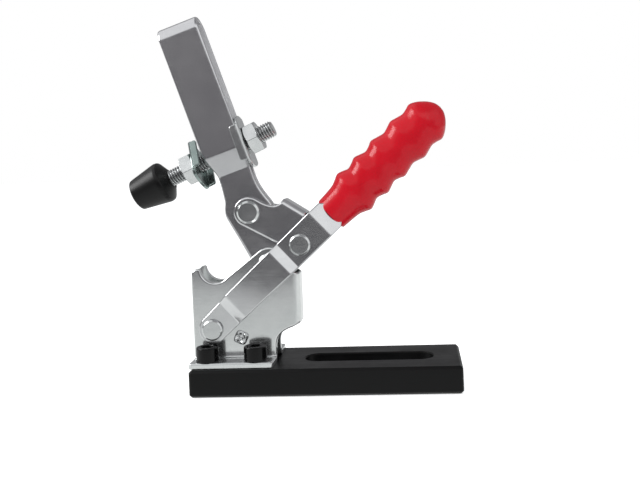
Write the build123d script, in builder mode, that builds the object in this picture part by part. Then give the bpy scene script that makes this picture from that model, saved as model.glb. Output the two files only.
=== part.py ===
from build123d import *
import os
from math import atan2, cos, degrees, hypot, radians, sin, tan

# ---------------------------------------------------------------- dimensions
# Everything is in millimetres. The origin is the centre of the bar's
# underside, +X runs along the bar towards its slot, +Y points to the back and
# +Z points up. The clamp stands open, as it is shown.

# base bar
bar_length = 150.0
bar_depth = 50.0
bar_height = 15.0
bar_chamfer = 1.5
slot_centre_x = 23.2
slot_length = 73.0
slot_width = 16.6
slot_chamfer = 0.7

# cap screws, M8 with a socket head
screw_xs = (-65.9, -38.9)
screw_y = 15.5
screw_r = 4.0
screw_head_r = 6.4
screw_head_h = 8.0
screw_socket_af = 6.0
screw_length = 14.5

# frame, bent from one sheet
frame_t = 3.25
frame_out = 8.5
frame_in = frame_out - frame_t
flange_out = 21.7
flange_left = -75.6
flange_right = -28.4
flange_bend = 1.0
web_x = -14.0
web_bend = 5.0

# pivots, as (x, z)
lever_pivot = (-63.5, 34.7)
arm_pivot = (-30.2, 70.1)
knee_pivot = (-41.0, 100.0)
crank_pivot = (-12.0, 81.1)
knee_closed = (-61.8, 69.5)
stop_centre = (-48.2, 29.3)

lever_pin_r = 4.0
arm_pin_r = 4.0
knee_pin_r = 3.5
crank_pin_r = 3.5
running = 0.05
snug = 0.02

# lever, one strip folded to a hairpin inside the grip
lever_angle = 42.2
lever_t = 3.0
lever_in = 8.75
lever_bulge = 2.7
tang_in = 3.0
tang_half = 7.2

# link, one strip folded to a channel
link_t = 3.0
link_out = 8.4
link_in = link_out - link_t
link_end_r = 8.5
link_crank_r = 5.73
link_top = 16.8

# arm, one strip folded to a U
arm_angle = 108.2
arm_t = 2.7
arm_out = 8.0
arm_low_out = 5.0
arm_tip_s = 147.0
arm_low_q = -15.0
arm_high_q = 9.0

# spindle, M10, held in the arm's slot between two lipped washers
spindle_s = 68.9
spindle_q = -3.0
spindle_tilt = 5.3
rod_r = 4.85
rod_back = -47.0
rod_front = 31.0
nut_af = 16.4
nut_h = 7.4
nut_turn = 8.0
washer_r = 15.5
washer_t = 2.1
washer_flat = 9.9
washer_lip_in = 8.2
washer_lip_h = 5.6
washer_lip_l = 20.5
lower_turn = 43.0

# grip, as half widths along the lever
grip_rows = (
    (92.0, 10.2),
    (95.5, 10.4),
    (100.0, 10.7),
    (104.4, 11.3),
    (107.4, 12.5),
    (110.9, 13.9),
    (114.2, 12.9),
    (117.4, 11.7),
    (120.8, 12.6),
    (124.1, 13.8),
    (127.6, 12.8),
    (131.1, 11.7),
    (134.2, 12.5),
    (137.4, 13.8),
    (141.4, 12.9),
    (145.7, 11.9),
    (149.2, 12.8),
    (152.8, 13.9),
    (156.8, 13.0),
    (160.6, 12.1),
    (163.6, 12.6),
    (166.8, 13.4),
    (170.2, 12.0),
    (173.4, 9.5),
    (176.2, 6.4),
    (178.0, 3.1),
    (178.5, 0.0),
)
grip_flat = 0.79

os.makedirs("parts", exist_ok=True)


def along(origin, angle_deg, s, q):
    """Point at s along a direction and q to its left, as (x, z)."""
    a = radians(angle_deg)
    return (
        origin[0] + s * cos(a) - q * sin(a),
        origin[1] + s * sin(a) + q * cos(a),
    )


def xz(y):
    """Drawing plane across the bar at y, seen from the front: x right, z up."""
    return Plane(origin=(0, y, 0), x_dir=(1, 0, 0), z_dir=(0, -1, 0))


def upright(origin, angle_deg, y=0.0):
    """Same, turned so that its x runs along a piece; its y is to the left."""
    a = radians(angle_deg)
    return Plane(
        origin=(origin[0], y, origin[1]),
        x_dir=(cos(a), 0, sin(a)),
        z_dir=(0, -1, 0),
    )


def edgewise(origin, angle_deg):
    """Plane that holds a piece's length (x) and the depth direction (y)."""
    a = radians(angle_deg)
    return Plane(
        origin=(origin[0], 0, origin[1]),
        x_dir=(cos(a), 0, sin(a)),
        z_dir=(sin(a), 0, -cos(a)),
    )


def bent_strip(path, t):
    """Both sides of a strip of thickness t, outer side given as (s, y)."""
    inner = []
    for i, (s, y) in enumerate(path):
        if i == 0:
            d0 = d1 = (path[1][0] - s, path[1][1] - y)
        elif i == len(path) - 1:
            d0 = d1 = (s - path[i - 1][0], y - path[i - 1][1])
        else:
            d0 = (s - path[i - 1][0], y - path[i - 1][1])
            d1 = (path[i + 1][0] - s, path[i + 1][1] - y)
        a0, a1 = atan2(d0[1], d0[0]), atan2(d1[1], d1[0])
        mid = (a0 + a1) / 2
        k = t / cos((a1 - a0) / 2)
        inner.append((s + k * sin(mid), y - k * cos(mid)))
    return inner


# ---------------------------------------------------------------- base bar
with BuildPart() as base_bar:
    with BuildSketch(Plane.XY):
        Rectangle(bar_length, bar_depth)
    extrude(amount=bar_height)
    chamfer(base_bar.edges(), length=bar_chamfer)
    with BuildSketch(Plane.XY):
        with Locations((slot_centre_x, 0)):
            SlotOverall(slot_length, slot_width)
    extrude(amount=bar_height, mode=Mode.SUBTRACT)
    rims = [
        e
        for e in base_bar.edges()
        if abs(e.center().Y) < slot_width / 2 + 0.1
        and abs(e.center().X - slot_centre_x) < slot_length / 2 + 0.1
        and (
            e.bounding_box().size.Z < 0.001
            and (
                abs(e.center().Z) < 0.001
                or abs(e.center().Z - bar_height) < 0.001
            )
        )
    ]
    chamfer(rims, length=slot_chamfer)
    # tapped holes, blind from the top
    with BuildSketch(Plane.XY.offset(bar_height)):
        with Locations(*[(x, sy * screw_y) for x in screw_xs for sy in (-1, 1)]):
            Circle(screw_r + snug)
    extrude(amount=-(bar_height - 2.5), mode=Mode.SUBTRACT)
base_bar.part.label = "base_bar"
export_step(base_bar.part, "parts/base_bar.step")

# ---------------------------------------------------------------- frame
arc_r = 9.0
plate_outline = [
    (flange_left, 24.0),
    (flange_left, 64.8),
    (-74.6, 67.6),
    (-72.6, 68.6),
    (-70.8, 68.4),
]
arc_pts = []
for k in range(9):
    a = radians(187.0 + k * (318.0 - 187.0) / 8.0)
    arc_pts.append(
        (knee_closed[0] + arc_r * cos(a), knee_closed[1] + arc_r * sin(a))
    )
lug_r = 9.7
lug_pts = []
for k in range(9):
    a = radians(128.0 - k * (128.0 + 2.0) / 8.0)
    lug_pts.append((arm_pivot[0] + lug_r * cos(a), arm_pivot[1] + lug_r * sin(a)))
with BuildPart() as frame:
    # two side walls and the web that joins them, seen from above
    with BuildSketch(Plane.XY.offset(24.0)):
        with BuildLine():
            Polyline(
                (flange_left, -frame_out),
                (web_x, -frame_out),
                (web_x, frame_out),
                (flange_left, frame_out),
                (flange_left, frame_in),
                (web_x - frame_t, frame_in),
                (web_x - frame_t, -frame_in),
                (flange_left, -frame_in),
                (flange_left, -frame_out),
            )
        make_face()
    extrude(amount=62.0)
    outer = [
        e
        for e in frame.edges().filter_by(Axis.Z)
        if abs(e.center().X - web_x) < 0.01
    ]
    fillet(outer, radius=web_bend)
    inner = [
        e
        for e in frame.edges().filter_by(Axis.Z)
        if abs(e.center().X - (web_x - frame_t)) < 0.01
    ]
    fillet(inner, radius=web_bend - frame_t)
    # side view outline: horn, saddle for the knee, lug, web, neck
    with BuildSketch(xz(-30.0)):
        with BuildLine():
            l1 = Polyline(*plate_outline, arc_pts[0])
            l2 = Spline(*arc_pts)
            l3 = Line(arc_pts[-1], lug_pts[0])
            l4 = Spline(*lug_pts)
            l5 = Polyline(
                lug_pts[-1],
                (-19.6, 66.6),
                (-17.6, 65.2),
                (-12.0, 64.6),
                (-12.0, 36.6),
                (-14.6, 36.0),
                (-22.6, 33.0),
                (-25.9, 30.9),
                (-27.7, 28.0),
                (flange_right, 25.4),
                (flange_right, 24.0),
                (flange_left, 24.0),
            )
        make_face()
    extrude(amount=-60.0, mode=Mode.INTERSECT)
    # flanges, bent outwards onto the bar
    for side in (1, -1):
        with BuildSketch(
            Plane(origin=(flange_left, 0, 0), x_dir=(0, 1, 0), z_dir=(1, 0, 0))
        ):
            with BuildLine():
                Polyline(
                    (-side * frame_in, 24.4),
                    (-side * frame_in, bar_height + flange_bend + frame_t),
                    (-side * (frame_out + flange_bend), bar_height),
                    (-side * flange_out, bar_height),
                    (-side * flange_out, bar_height + frame_t),
                    (
                        -side * (frame_out + flange_bend),
                        bar_height + frame_t,
                    ),
                    (-side * frame_out, bar_height + frame_t + flange_bend),
                    (-side * frame_out, 24.4),
                    (-side * frame_in, 24.4),
                )
            make_face()
        extrude(amount=flange_right - flange_left)
    # pivot and stop holes
    with BuildSketch(xz(-30.0)):
        with Locations(lever_pivot):
            Circle(lever_pin_r + snug)
        with Locations(arm_pivot):
            Circle(arm_pin_r + snug)
        with Locations(stop_centre):
            Circle(2.5 + snug)
    extrude(amount=-60.0, mode=Mode.SUBTRACT)
    with BuildSketch(Plane.XY.offset(bar_height - 1.0)):
        with Locations(*[(x, sy * screw_y) for x in screw_xs for sy in (-1, 1)]):
            Circle(screw_r + 0.4)
    extrude(amount=frame_t + 1.6, mode=Mode.SUBTRACT)
frame.part.label = "frame"
export_step(frame.part, "parts/frame.step")

# ---------------------------------------------------------------- cap screws
flange_top = bar_height + frame_t
names = {
    (0, -1): "cap_screw_front_outer",
    (1, -1): "cap_screw_front_inner",
    (0, 1): "cap_screw_rear_outer",
    (1, 1): "cap_screw_rear_inner",
}
for (i, sy), label in names.items():
    with BuildPart() as cap_screw:
        with BuildSketch(Plane.XY.offset(flange_top)):
            with Locations((screw_xs[i], sy * screw_y)):
                Circle(screw_head_r)
        extrude(amount=screw_head_h)
        chamfer(
            cap_screw.faces().sort_by(Axis.Z)[-1].edges(), length=0.6
        )
        chamfer(
            cap_screw.faces().sort_by(Axis.Z)[0].edges(), length=0.4
        )
        with BuildSketch(Plane.XY.offset(flange_top)):
            with Locations((screw_xs[i], sy * screw_y)):
                Circle(screw_r)
        extrude(amount=-screw_length)
        chamfer(
            cap_screw.faces().sort_by(Axis.Z)[0].edges(), length=0.8
        )
        with BuildSketch(Plane.XY.offset(flange_top + screw_head_h)):
            with Locations((screw_xs[i], sy * screw_y)):
                RegularPolygon(
                    radius=screw_socket_af / 2, side_count=6, major_radius=False
                )
        extrude(amount=-4.2, mode=Mode.SUBTRACT)
    cap_screw.part.label = label
    export_step(cap_screw.part, "parts/" + label + ".step")

# ---------------------------------------------------------------- lever
lever_out = lever_in + lever_t
bulge_out = lever_out + lever_bulge
tang_out = tang_in + lever_t
side_path = [
    (-12.0, lever_out),
    (13.6, lever_out),
    (19.2, bulge_out),
    (54.2, bulge_out),
    (60.2, lever_out),
    (85.4, lever_out),
    (93.6, tang_out),
    (150.0, tang_out),
]
side_inner = bent_strip(side_path, lever_t)
with BuildPart() as lever:
    with BuildSketch(edgewise(lever_pivot, lever_angle)):
        with BuildLine():
            Polyline(*side_path)
            ThreePointArc(
                (150.0, tang_out), (150.0 + tang_out, 0), (150.0, -tang_out)
            )
            Polyline(*[(s, -y) for s, y in reversed(side_path)])
            Line((-12.0, -lever_out), (-12.0, -lever_in))
            Polyline(*[(s, -y) for s, y in side_inner])
            ThreePointArc(
                side_inner[-1][0:1] + (-side_inner[-1][1],),
                (150.0 + tang_in, 0),
                side_inner[-1],
            )
            Polyline(*reversed(side_inner))
            Line((-12.0, lever_in), (-12.0, lever_out))
        make_face()
    extrude(amount=30.0, both=True)
    # side view outline: round foot, flanks, narrower tang
    with BuildSketch(upright(lever_pivot, lever_angle, -40.0)):
        with BuildLine():
            ThreePointArc((0.0, 8.0), (-8.0, 0.0), (0.0, -8.0))
            Polyline(
                (0.0, -8.0),
                (30.0, -8.1),
                (58.0, -8.9),
                (92.6, -9.1),
                (94.4, -tang_half),
                (160.0, -tang_half),
                (160.0, tang_half),
                (94.4, tang_half),
                (92.6, 9.3),
                (58.0, 9.1),
                (22.0, 8.8),
                (8.0, 8.1),
                (0.0, 8.0),
            )
        make_face()
    extrude(amount=-80.0, mode=Mode.INTERSECT)
    with BuildSketch(xz(-40.0)):
        with Locations(lever_pivot):
            Circle(lever_pin_r + running)
        with Locations(crank_pivot):
            Circle(crank_pin_r + snug)
    extrude(amount=-80.0, mode=Mode.SUBTRACT)
lever.part.label = "lever"
export_step(lever.part, "parts/lever.step")

# ---------------------------------------------------------------- grip
with BuildPart() as grip:
    with BuildSketch(upright(lever_pivot, lever_angle)):
        with BuildLine():
            Spline(*grip_rows, tangents=((1, 0.05), (0, -1)))
            Polyline(grip_rows[-1], (grip_rows[0][0], 0.0), grip_rows[0])
        make_face()
    revolve(
        axis=Axis(
            (lever_pivot[0], 0, lever_pivot[1]),
            (cos(radians(lever_angle)), 0, sin(radians(lever_angle))),
        )
    )
    scale(by=(1.0, grip_flat, 1.0))
    # pocket for the tang, with a wider mouth
    with BuildSketch(edgewise(lever_pivot, lever_angle)):
        with BuildLine():
            Polyline(
                (94.5, -tang_out - 0.06),
                (94.5, tang_out + 0.06),
                (150.0, tang_out + 0.06),
            )
            ThreePointArc(
                (150.0, tang_out + 0.06),
                (150.0 + tang_out + 0.06, 0),
                (150.0, -tang_out - 0.06),
            )
            Line((150.0, -tang_out - 0.06), (94.5, -tang_out - 0.06))
        make_face()
    extrude(amount=tang_half + 0.06, both=True, mode=Mode.SUBTRACT)
    with BuildSketch(edgewise(lever_pivot, lever_angle)):
        with BuildLine():
            Polyline(
                (80.0, lever_out + 2.2),
                (85.4, lever_out + 0.2),
                (93.6, tang_out + 0.2),
                (94.6, tang_out + 0.06),
                (94.6, -tang_out - 0.06),
                (93.6, -tang_out - 0.2),
                (85.4, -lever_out - 0.2),
                (80.0, -lever_out - 2.2),
                (80.0, lever_out + 2.2),
            )
        make_face()
    extrude(amount=9.4, both=True, mode=Mode.SUBTRACT)
grip.part.label = "grip"
export_step(grip.part, "parts/grip.step")

# ---------------------------------------------------------------- link
link_angle = degrees(
    atan2(crank_pivot[1] - knee_pivot[1], crank_pivot[0] - knee_pivot[0])
)
link_len = hypot(crank_pivot[0] - knee_pivot[0], crank_pivot[1] - knee_pivot[1])
with BuildPart() as link:
    # channel section, open downwards, run along the link
    lp = upright(knee_pivot, link_angle)
    with BuildSketch(
        Plane(
            origin=(knee_pivot[0], 0, knee_pivot[1]),
            x_dir=(0, 1, 0),
            z_dir=lp.x_dir,
        )
    ) as link_section:
        # local x is the depth, local y is across the link
        with BuildLine():
            Polyline(
                (-link_out, -12.0),
                (-link_out, link_top),
                (link_out, link_top),
                (link_out, -12.0),
                (link_in, -12.0),
                (link_in, link_top - link_t),
                (-link_in, link_top - link_t),
                (-link_in, -12.0),
                (-link_out, -12.0),
            )
        make_face()
        fillet(link_section.vertices().group_by(Axis.Y)[-1], radius=3.6)
        fillet(
            [
                v
                for v in link_section.vertices()
                if abs(v.Y - (link_top - link_t)) < 0.01
            ],
            radius=0.8,
        )
    extrude(amount=60.0, both=True)
    with BuildSketch(upright(knee_pivot, link_angle, -30.0)):
        with BuildLine():
            ThreePointArc((0.0, -link_end_r), (-link_end_r, 0.0), (0.0, link_end_r))
            Spline(
                (0.0, link_end_r),
                (7.4, 9.2),
                (11.6, 11.6),
                (12.9, link_top),
                tangents=((1, 0), (0.1, 1)),
            )
            Line((12.9, link_top), (28.4, link_top))
            Spline(
                (28.4, link_top),
                (30.4, 12.0),
                (32.9, 8.0),
                (link_len + 2.0, link_crank_r * 0.9371),
                tangents=((0.3, -1), (0.937, -0.349)),
            )
            ThreePointArc(
                (link_len + 2.0, link_crank_r * 0.9371),
                (link_len + link_crank_r, 0.0),
                (link_len, -link_crank_r),
            )
            Line((link_len, -link_crank_r), (0.0, -link_end_r))
        make_face()
    extrude(amount=-60.0, mode=Mode.INTERSECT)
    with BuildSketch(xz(-30.0)):
        with Locations(knee_pivot):
            Circle(knee_pin_r + running)
        with Locations(crank_pivot):
            Circle(crank_pin_r + snug)
    extrude(amount=-60.0, mode=Mode.SUBTRACT)
link.part.label = "link"
export_step(link.part, "parts/link.step")

# ---------------------------------------------------------------- arm
arm_low_in = arm_low_out - arm_t
arm_in = arm_out - arm_t
tip_s = arm_tip_s - arm_out
arm_path = [
    (-14.0, arm_low_out),
    (55.8, arm_low_out),
    (68.5, arm_out),
    (tip_s, arm_out),
]
arm_inner = bent_strip(arm_path, arm_t)
with BuildPart() as arm:
    with BuildSketch(edgewise(arm_pivot, arm_angle)) as arm_section:
        with BuildLine():
            Polyline(*arm_path)
            ThreePointArc((tip_s, arm_out), (arm_tip_s, 0), (tip_s, -arm_out))
            Polyline(*[(s, -y) for s, y in reversed(arm_path)])
            Line((-14.0, -arm_low_out), (-14.0, -arm_low_in))
            Polyline(*[(s, -y) for s, y in arm_inner])
            ThreePointArc(
                (tip_s, -arm_in), (tip_s + arm_in, 0), (tip_s, arm_in)
            )
            Polyline(*reversed(arm_inner))
            Line((-14.0, arm_low_in), (-14.0, arm_low_out))
        make_face()
    extrude(amount=30.0, both=True)
    with BuildSketch(upright(arm_pivot, arm_angle, -30.0)):
        with BuildLine():
            m1 = Line((152.0, 15.0), (70.0, 15.0))
            m2 = Spline(
                (70.0, 15.0),
                (64.5, 13.8),
                (57.5, 11.2),
                (51.5, 11.3),
                (45.5, 12.0),
                (41.0, 12.7),
                (37.5, 14.1),
                (34.0, 14.9),
                (29.5, 14.3),
                (22.0, 12.8),
                (8.0, 10.3),
                (2.0, 9.3),
                tangents=((-1, 0), (-1, -0.16)),
            )
            m3 = ThreePointArc((2.0, 9.3), (-9.5, 0.0), (2.0, -9.3))
            m4 = Spline(
                (2.0, -9.3),
                (9.0, -10.5),
                (21.0, -12.4),
                (29.0, -12.5),
                (33.5, -11.7),
                (38.0, -10.2),
                (43.0, -8.8),
                (48.0, -8.1),
                (56.0, -8.1),
                (66.0, -9.0),
                tangents=((1, -0.16), (1, 0)),
            )
            m5 = Polyline((66.0, -9.0), (152.0, -9.0), (152.0, 15.0))
        make_face()
    extrude(amount=-60.0, mode=Mode.INTERSECT)
    with BuildSketch(xz(-30.0)):
        with Locations(arm_pivot):
            Circle(arm_pin_r + running)
        with Locations(knee_pivot):
            Circle(knee_pin_r + snug)
    extrude(amount=-60.0, mode=Mode.SUBTRACT)
arm.part.label = "arm"
export_step(arm.part, "parts/arm.step")

# ---------------------------------------------------------------- rivets
def rivet_section(centre, shank_r, face, head_r, head_h, bevel):
    """Half section of a rivet with a head on both sides."""
    x = centre[0]
    return [
        (x, -face - head_h),
        (x + head_r - bevel, -face - head_h),
        (x + head_r, -face - head_h + bevel),
        (x + head_r, -face),
        (x + shank_r, -face),
        (x + shank_r, face),
        (x + head_r, face),
        (x + head_r, face + head_h - bevel),
        (x + head_r - bevel, face + head_h),
        (x, face + head_h),
        (x, -face - head_h),
    ]


rivets = {
    "lever_pivot_rivet": (lever_pivot, lever_pin_r, lever_out + 0.1, 5.9, 2.2, 0.8),
    "arm_pivot_rivet": (arm_pivot, arm_pin_r, frame_out, 6.6, 2.4, 1.0),
    "knee_rivet": (knee_pivot, knee_pin_r, link_out + 0.1, 6.5, 2.3, 1.1),
    "stop_rivet": (stop_centre, 2.5, frame_out, 3.4, 1.2, 0.5),
    "crank_pin": (crank_pivot, crank_pin_r, link_out + 0.15, crank_pin_r, 0.0, 0.0),
}
for label, (centre, shank_r, face, head_r, head_h, bevel) in rivets.items():
    with BuildPart() as rivet:
        if head_h > 0:
            with BuildSketch(Plane.XY.offset(centre[1])):
                with BuildLine():
                    Polyline(
                        *rivet_section(centre, shank_r, face, head_r, head_h, bevel)
                    )
                make_face()
            revolve(axis=Axis((centre[0], 0, centre[1]), (0, 1, 0)))
        else:
            with BuildSketch(xz(-face)):
                with Locations(centre):
                    Circle(shank_r)
            extrude(amount=-2 * face)
    rivet.part.label = label
    export_step(rivet.part, "parts/" + label + ".step")

# the lever's half of the crank rivet: a head and a stub in each side
with BuildPart() as crank_rivet_heads:
    for side in (-1, 1):
        with BuildSketch(Plane.XY.offset(crank_pivot[1])):
            with BuildLine():
                x = crank_pivot[0]
                inner_y = lever_in + 0.05
                Polyline(
                    (x, side * inner_y),
                    (x + crank_pin_r, side * inner_y),
                    (x + crank_pin_r, side * lever_out),
                    (x + 6.0, side * lever_out),
                    (x + 6.0, side * (lever_out + 1.3)),
                    (x + 5.0, side * (lever_out + 2.2)),
                    (x, side * (lever_out + 2.2)),
                    (x, side * inner_y),
                )
            make_face()
        revolve(axis=Axis((crank_pivot[0], 0, crank_pivot[1]), (0, 1, 0)))
crank_rivet_heads.part.label = "crank_rivet_heads"
export_step(crank_rivet_heads.part, "parts/crank_rivet_heads.step")

# ---------------------------------------------------------------- spindle
spindle_angle = arm_angle - 90.0 + spindle_tilt
tilt = radians(spindle_tilt)
sp = along(arm_pivot, arm_angle, spindle_s, -spindle_q)


def across(angle_deg, t, turn=0.0):
    """Plane square to a direction, at t along the spindle's own line.

    Its normal is the direction, at angle_deg above the bar, and its y points
    to the front before the turn.
    """
    a, w, r = radians(angle_deg), radians(spindle_angle), radians(turn)
    return Plane(
        origin=(sp[0] + t * cos(w), 0, sp[1] + t * sin(w)),
        x_dir=(-cos(r) * sin(a), -sin(r), cos(r) * cos(a)),
        z_dir=(cos(a), 0, sin(a)),
    )


def at_q(q):
    """Where the spindle's line is q to the right of the arm's line."""
    return (q - spindle_q) / cos(tilt)


se = (cos(radians(spindle_angle)), 0.0, sin(radians(spindle_angle)))
# the upper washer lies flat on the arm; the nut's rim touches it at one side
upper_face = at_q(arm_high_q + 0.04 + washer_t)
upper_nut = upper_face + (nut_af / 2 + 0.1) * tan(tilt) + 0.03
# the lower washer is square to the spindle and turned, lips towards the arm
lower_edge = (arm_low_q - spindle_q - 0.06) / cos(tilt) - 9.0 * tan(tilt)
lower_face = lower_edge - washer_lip_h
lower_nut = lower_face - 0.03 - nut_h

with BuildPart() as spindle_rod:
    with BuildSketch(across(spindle_angle, rod_back)):
        Circle(rod_r)
    extrude(amount=rod_front - rod_back)
    ends = spindle_rod.faces().filter_by(GeomType.PLANE)
    chamfer([e for f in ends for e in f.edges()], length=0.9)
spindle_rod.part.label = "spindle_rod"
export_step(spindle_rod.part, "parts/spindle_rod.step")

with BuildPart() as spindle_cap:
    with BuildSketch(upright(sp, spindle_angle)):
        with BuildLine():
            Polyline(
                (-47.1, 0.0),
                (-47.1, rod_r + snug),
                (-35.2, rod_r + snug),
                (-35.2, 5.6),
                (-35.9, 6.4),
                (-38.7, 11.3),
                (-39.2, 11.8),
                (-40.0, 12.0),
                (-40.9, 11.9),
                (-57.4, 9.0),
                (-58.0, 8.4),
                (-58.3, 7.6),
                (-58.6, 0.0),
                (-47.1, 0.0),
            )
        make_face()
    revolve(axis=Axis((sp[0], 0, sp[1]), se))
spindle_cap.part.label = "spindle_cap"
export_step(spindle_cap.part, "parts/spindle_cap.step")

for label, start in (
    ("spindle_nut_upper", upper_nut),
    ("spindle_nut_lower", lower_nut),
):
    with BuildPart() as nut:
        with BuildSketch(across(spindle_angle, start)):
            RegularPolygon(
                radius=nut_af / 2,
                side_count=6,
                major_radius=False,
                rotation=30.0 + nut_turn,
            )
            Circle(rod_r + running, mode=Mode.SUBTRACT)
        extrude(amount=nut_h)
        corner = nut_af / 2 / cos(radians(30.0))
        with BuildSketch(upright(sp, spindle_angle)):
            with BuildLine():
                Polyline(
                    (start, 0.0),
                    (start, nut_af / 2 - 0.1),
                    (start + 0.8, corner + 0.1),
                    (start + nut_h - 0.8, corner + 0.1),
                    (start + nut_h, nut_af / 2 - 0.1),
                    (start + nut_h, 0.0),
                    (start, 0.0),
                )
            make_face()
        revolve(axis=Axis((sp[0], 0, sp[1]), se), mode=Mode.INTERSECT)
    nut.part.label = label
    export_step(nut.part, "parts/" + label + ".step")

for label, angle, face, side, turn in (
    ("spindle_washer_upper", arm_angle - 90.0, upper_face, 1.0, 0.0),
    ("spindle_washer_lower", spindle_angle, lower_face, -1.0, -lower_turn),
):
    with BuildPart() as washer:
        with BuildSketch(across(angle, face, turn)):
            Circle(washer_r)
            Rectangle(40.0, 2 * washer_flat, mode=Mode.INTERSECT)
        extrude(amount=-side * washer_t)
        with BuildSketch(across(angle, face, turn)):
            lip_w = washer_flat - washer_lip_in
            with Locations(
                (0, washer_flat - lip_w / 2), (0, -washer_flat + lip_w / 2)
            ):
                Rectangle(washer_lip_l, lip_w)
        extrude(amount=-side * washer_lip_h)
        pl = across(angle, face, turn)
        bends = [
            e
            for e in washer.edges().filter_by(GeomType.LINE)
            if e.length > washer_lip_l * 0.9
            and abs(abs(pl.to_local_coords(e.center()).Y) - washer_flat) < 0.01
            and abs(pl.to_local_coords(e.center()).Z) < 0.01
        ]
        fillet(bends, radius=1.6)
        with BuildSketch(across(angle, face, turn)) as hole:
            Circle(rod_r + (0.5 if side > 0 else 0.3))
        extrude(amount=4.0, both=True, mode=Mode.SUBTRACT)
    washer.part.label = label
    export_step(washer.part, "parts/" + label + ".step")
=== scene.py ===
import bpy
from math import atan2, cos, degrees, hypot, pi, radians, sin, sqrt, tan
from mathutils import Matrix, Vector
from mathutils.geometry import delaunay_2d_cdt


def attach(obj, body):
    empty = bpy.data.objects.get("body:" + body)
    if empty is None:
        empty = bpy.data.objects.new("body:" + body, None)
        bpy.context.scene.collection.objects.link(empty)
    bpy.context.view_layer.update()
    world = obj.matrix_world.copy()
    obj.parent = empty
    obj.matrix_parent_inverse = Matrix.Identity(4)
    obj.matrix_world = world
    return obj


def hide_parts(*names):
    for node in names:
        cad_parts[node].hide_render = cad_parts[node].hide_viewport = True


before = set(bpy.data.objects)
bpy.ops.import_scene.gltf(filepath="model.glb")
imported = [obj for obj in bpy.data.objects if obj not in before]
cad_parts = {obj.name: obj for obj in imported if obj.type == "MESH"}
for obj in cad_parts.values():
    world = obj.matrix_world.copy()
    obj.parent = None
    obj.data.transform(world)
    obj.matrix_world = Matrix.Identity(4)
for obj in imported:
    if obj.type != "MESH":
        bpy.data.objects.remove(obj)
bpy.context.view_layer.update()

# Everything below is in millimetres until a shell is built. The origin is the
# centre of the bar's underside, +X runs towards the slot, +Z is up.
MM = 0.001
X, Y, Z = Vector((1, 0, 0)), Vector((0, 1, 0)), Vector((0, 0, 1))


# ------------------------------------------------------------ mesh building
class Shell:
    """Points with their normals, and the faces between them."""

    def __init__(self):
        self.p, self.n, self.f = [], [], []

    def point(self, p, n):
        self.p.append(Vector(p))
        self.n.append(Vector(n).normalized())
        return len(self.p) - 1

    def face(self, *ids):
        self.f.append(list(ids))

    def strip(self, a, b, closed=True):
        m = len(a)
        for i in range(m if closed else m - 1):
            j = (i + 1) % m
            self.face(a[i], a[j], b[j], b[i])

    def fan(self, ring, centre):
        m = len(ring)
        for i in range(m):
            self.face(ring[i], ring[(i + 1) % m], centre)


def build(shell, name, body, node, material):
    faces = []
    for ids in shell.f:
        keep = []
        for i in ids:
            if not keep or (shell.p[i] - shell.p[keep[-1]]).length > 2e-4:
                keep.append(i)
        if len(keep) > 1 and (shell.p[keep[0]] - shell.p[keep[-1]]).length <= 2e-4:
            keep.pop()
        if len(keep) < 3:
            continue
        g = Vector((0, 0, 0))
        m = Vector((0, 0, 0))
        for k, i in enumerate(keep):
            g += shell.p[i].cross(shell.p[keep[(k + 1) % len(keep)]])
            m += shell.n[i]
        if g.length < 1e-9:
            continue
        if g.dot(m) < 0:
            keep.reverse()
        faces.append(keep)
    used = sorted({i for f in faces for i in f})
    place = {i: k for k, i in enumerate(used)}
    mesh = bpy.data.meshes.new(name)
    mesh.from_pydata(
        [shell.p[i] * MM for i in used], [], [[place[i] for i in f] for f in faces]
    )
    mesh.shade_smooth()
    mesh.normals_split_custom_set_from_vertices([shell.n[i] for i in used])
    mesh.update()
    obj = bpy.data.objects.new(name, mesh)
    bpy.context.scene.collection.objects.link(obj)
    mesh.materials.append(material)
    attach(obj, body)
    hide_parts(node)
    return obj


def arc(cx, cy, r, a0, a1, n):
    """Points on an arc, angles in degrees."""
    out = []
    for k in range(n + 1):
        a = radians(a0 + (a1 - a0) * k / n)
        out.append((cx + r * cos(a), cy + r * sin(a)))
    return out


def smooth(points, n=6):
    """A flowing line through points, without its last point."""
    out = []
    m = len(points)
    for i in range(m - 1):
        p1, p2 = Vector(points[i]), Vector(points[i + 1])
        p0 = Vector(points[i - 1]) if i else p1 * 2 - p2
        p3 = Vector(points[i + 2]) if i + 2 < m else p2 * 2 - p1
        d1, d2, d3 = [
            max(1e-6, sqrt((b - a).length)) for a, b in ((p0, p1), (p1, p2), (p2, p3))
        ]
        m1 = (p1 - p0) / d1 - (p2 - p0) / (d1 + d2) + (p2 - p1) / d2
        m2 = (p2 - p1) / d2 - (p3 - p1) / (d2 + d3) + (p3 - p2) / d3
        m1, m2 = m1 * d2, m2 * d2
        for k in range(n):
            t = k / n
            h = (
                p1 * (2 * t**3 - 3 * t**2 + 1)
                + m1 * (t**3 - 2 * t**2 + t)
                + p2 * (-2 * t**3 + 3 * t**2)
                + m2 * (t**3 - t**2)
            )
            out.append((h[0], h[1]))
    return out


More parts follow.
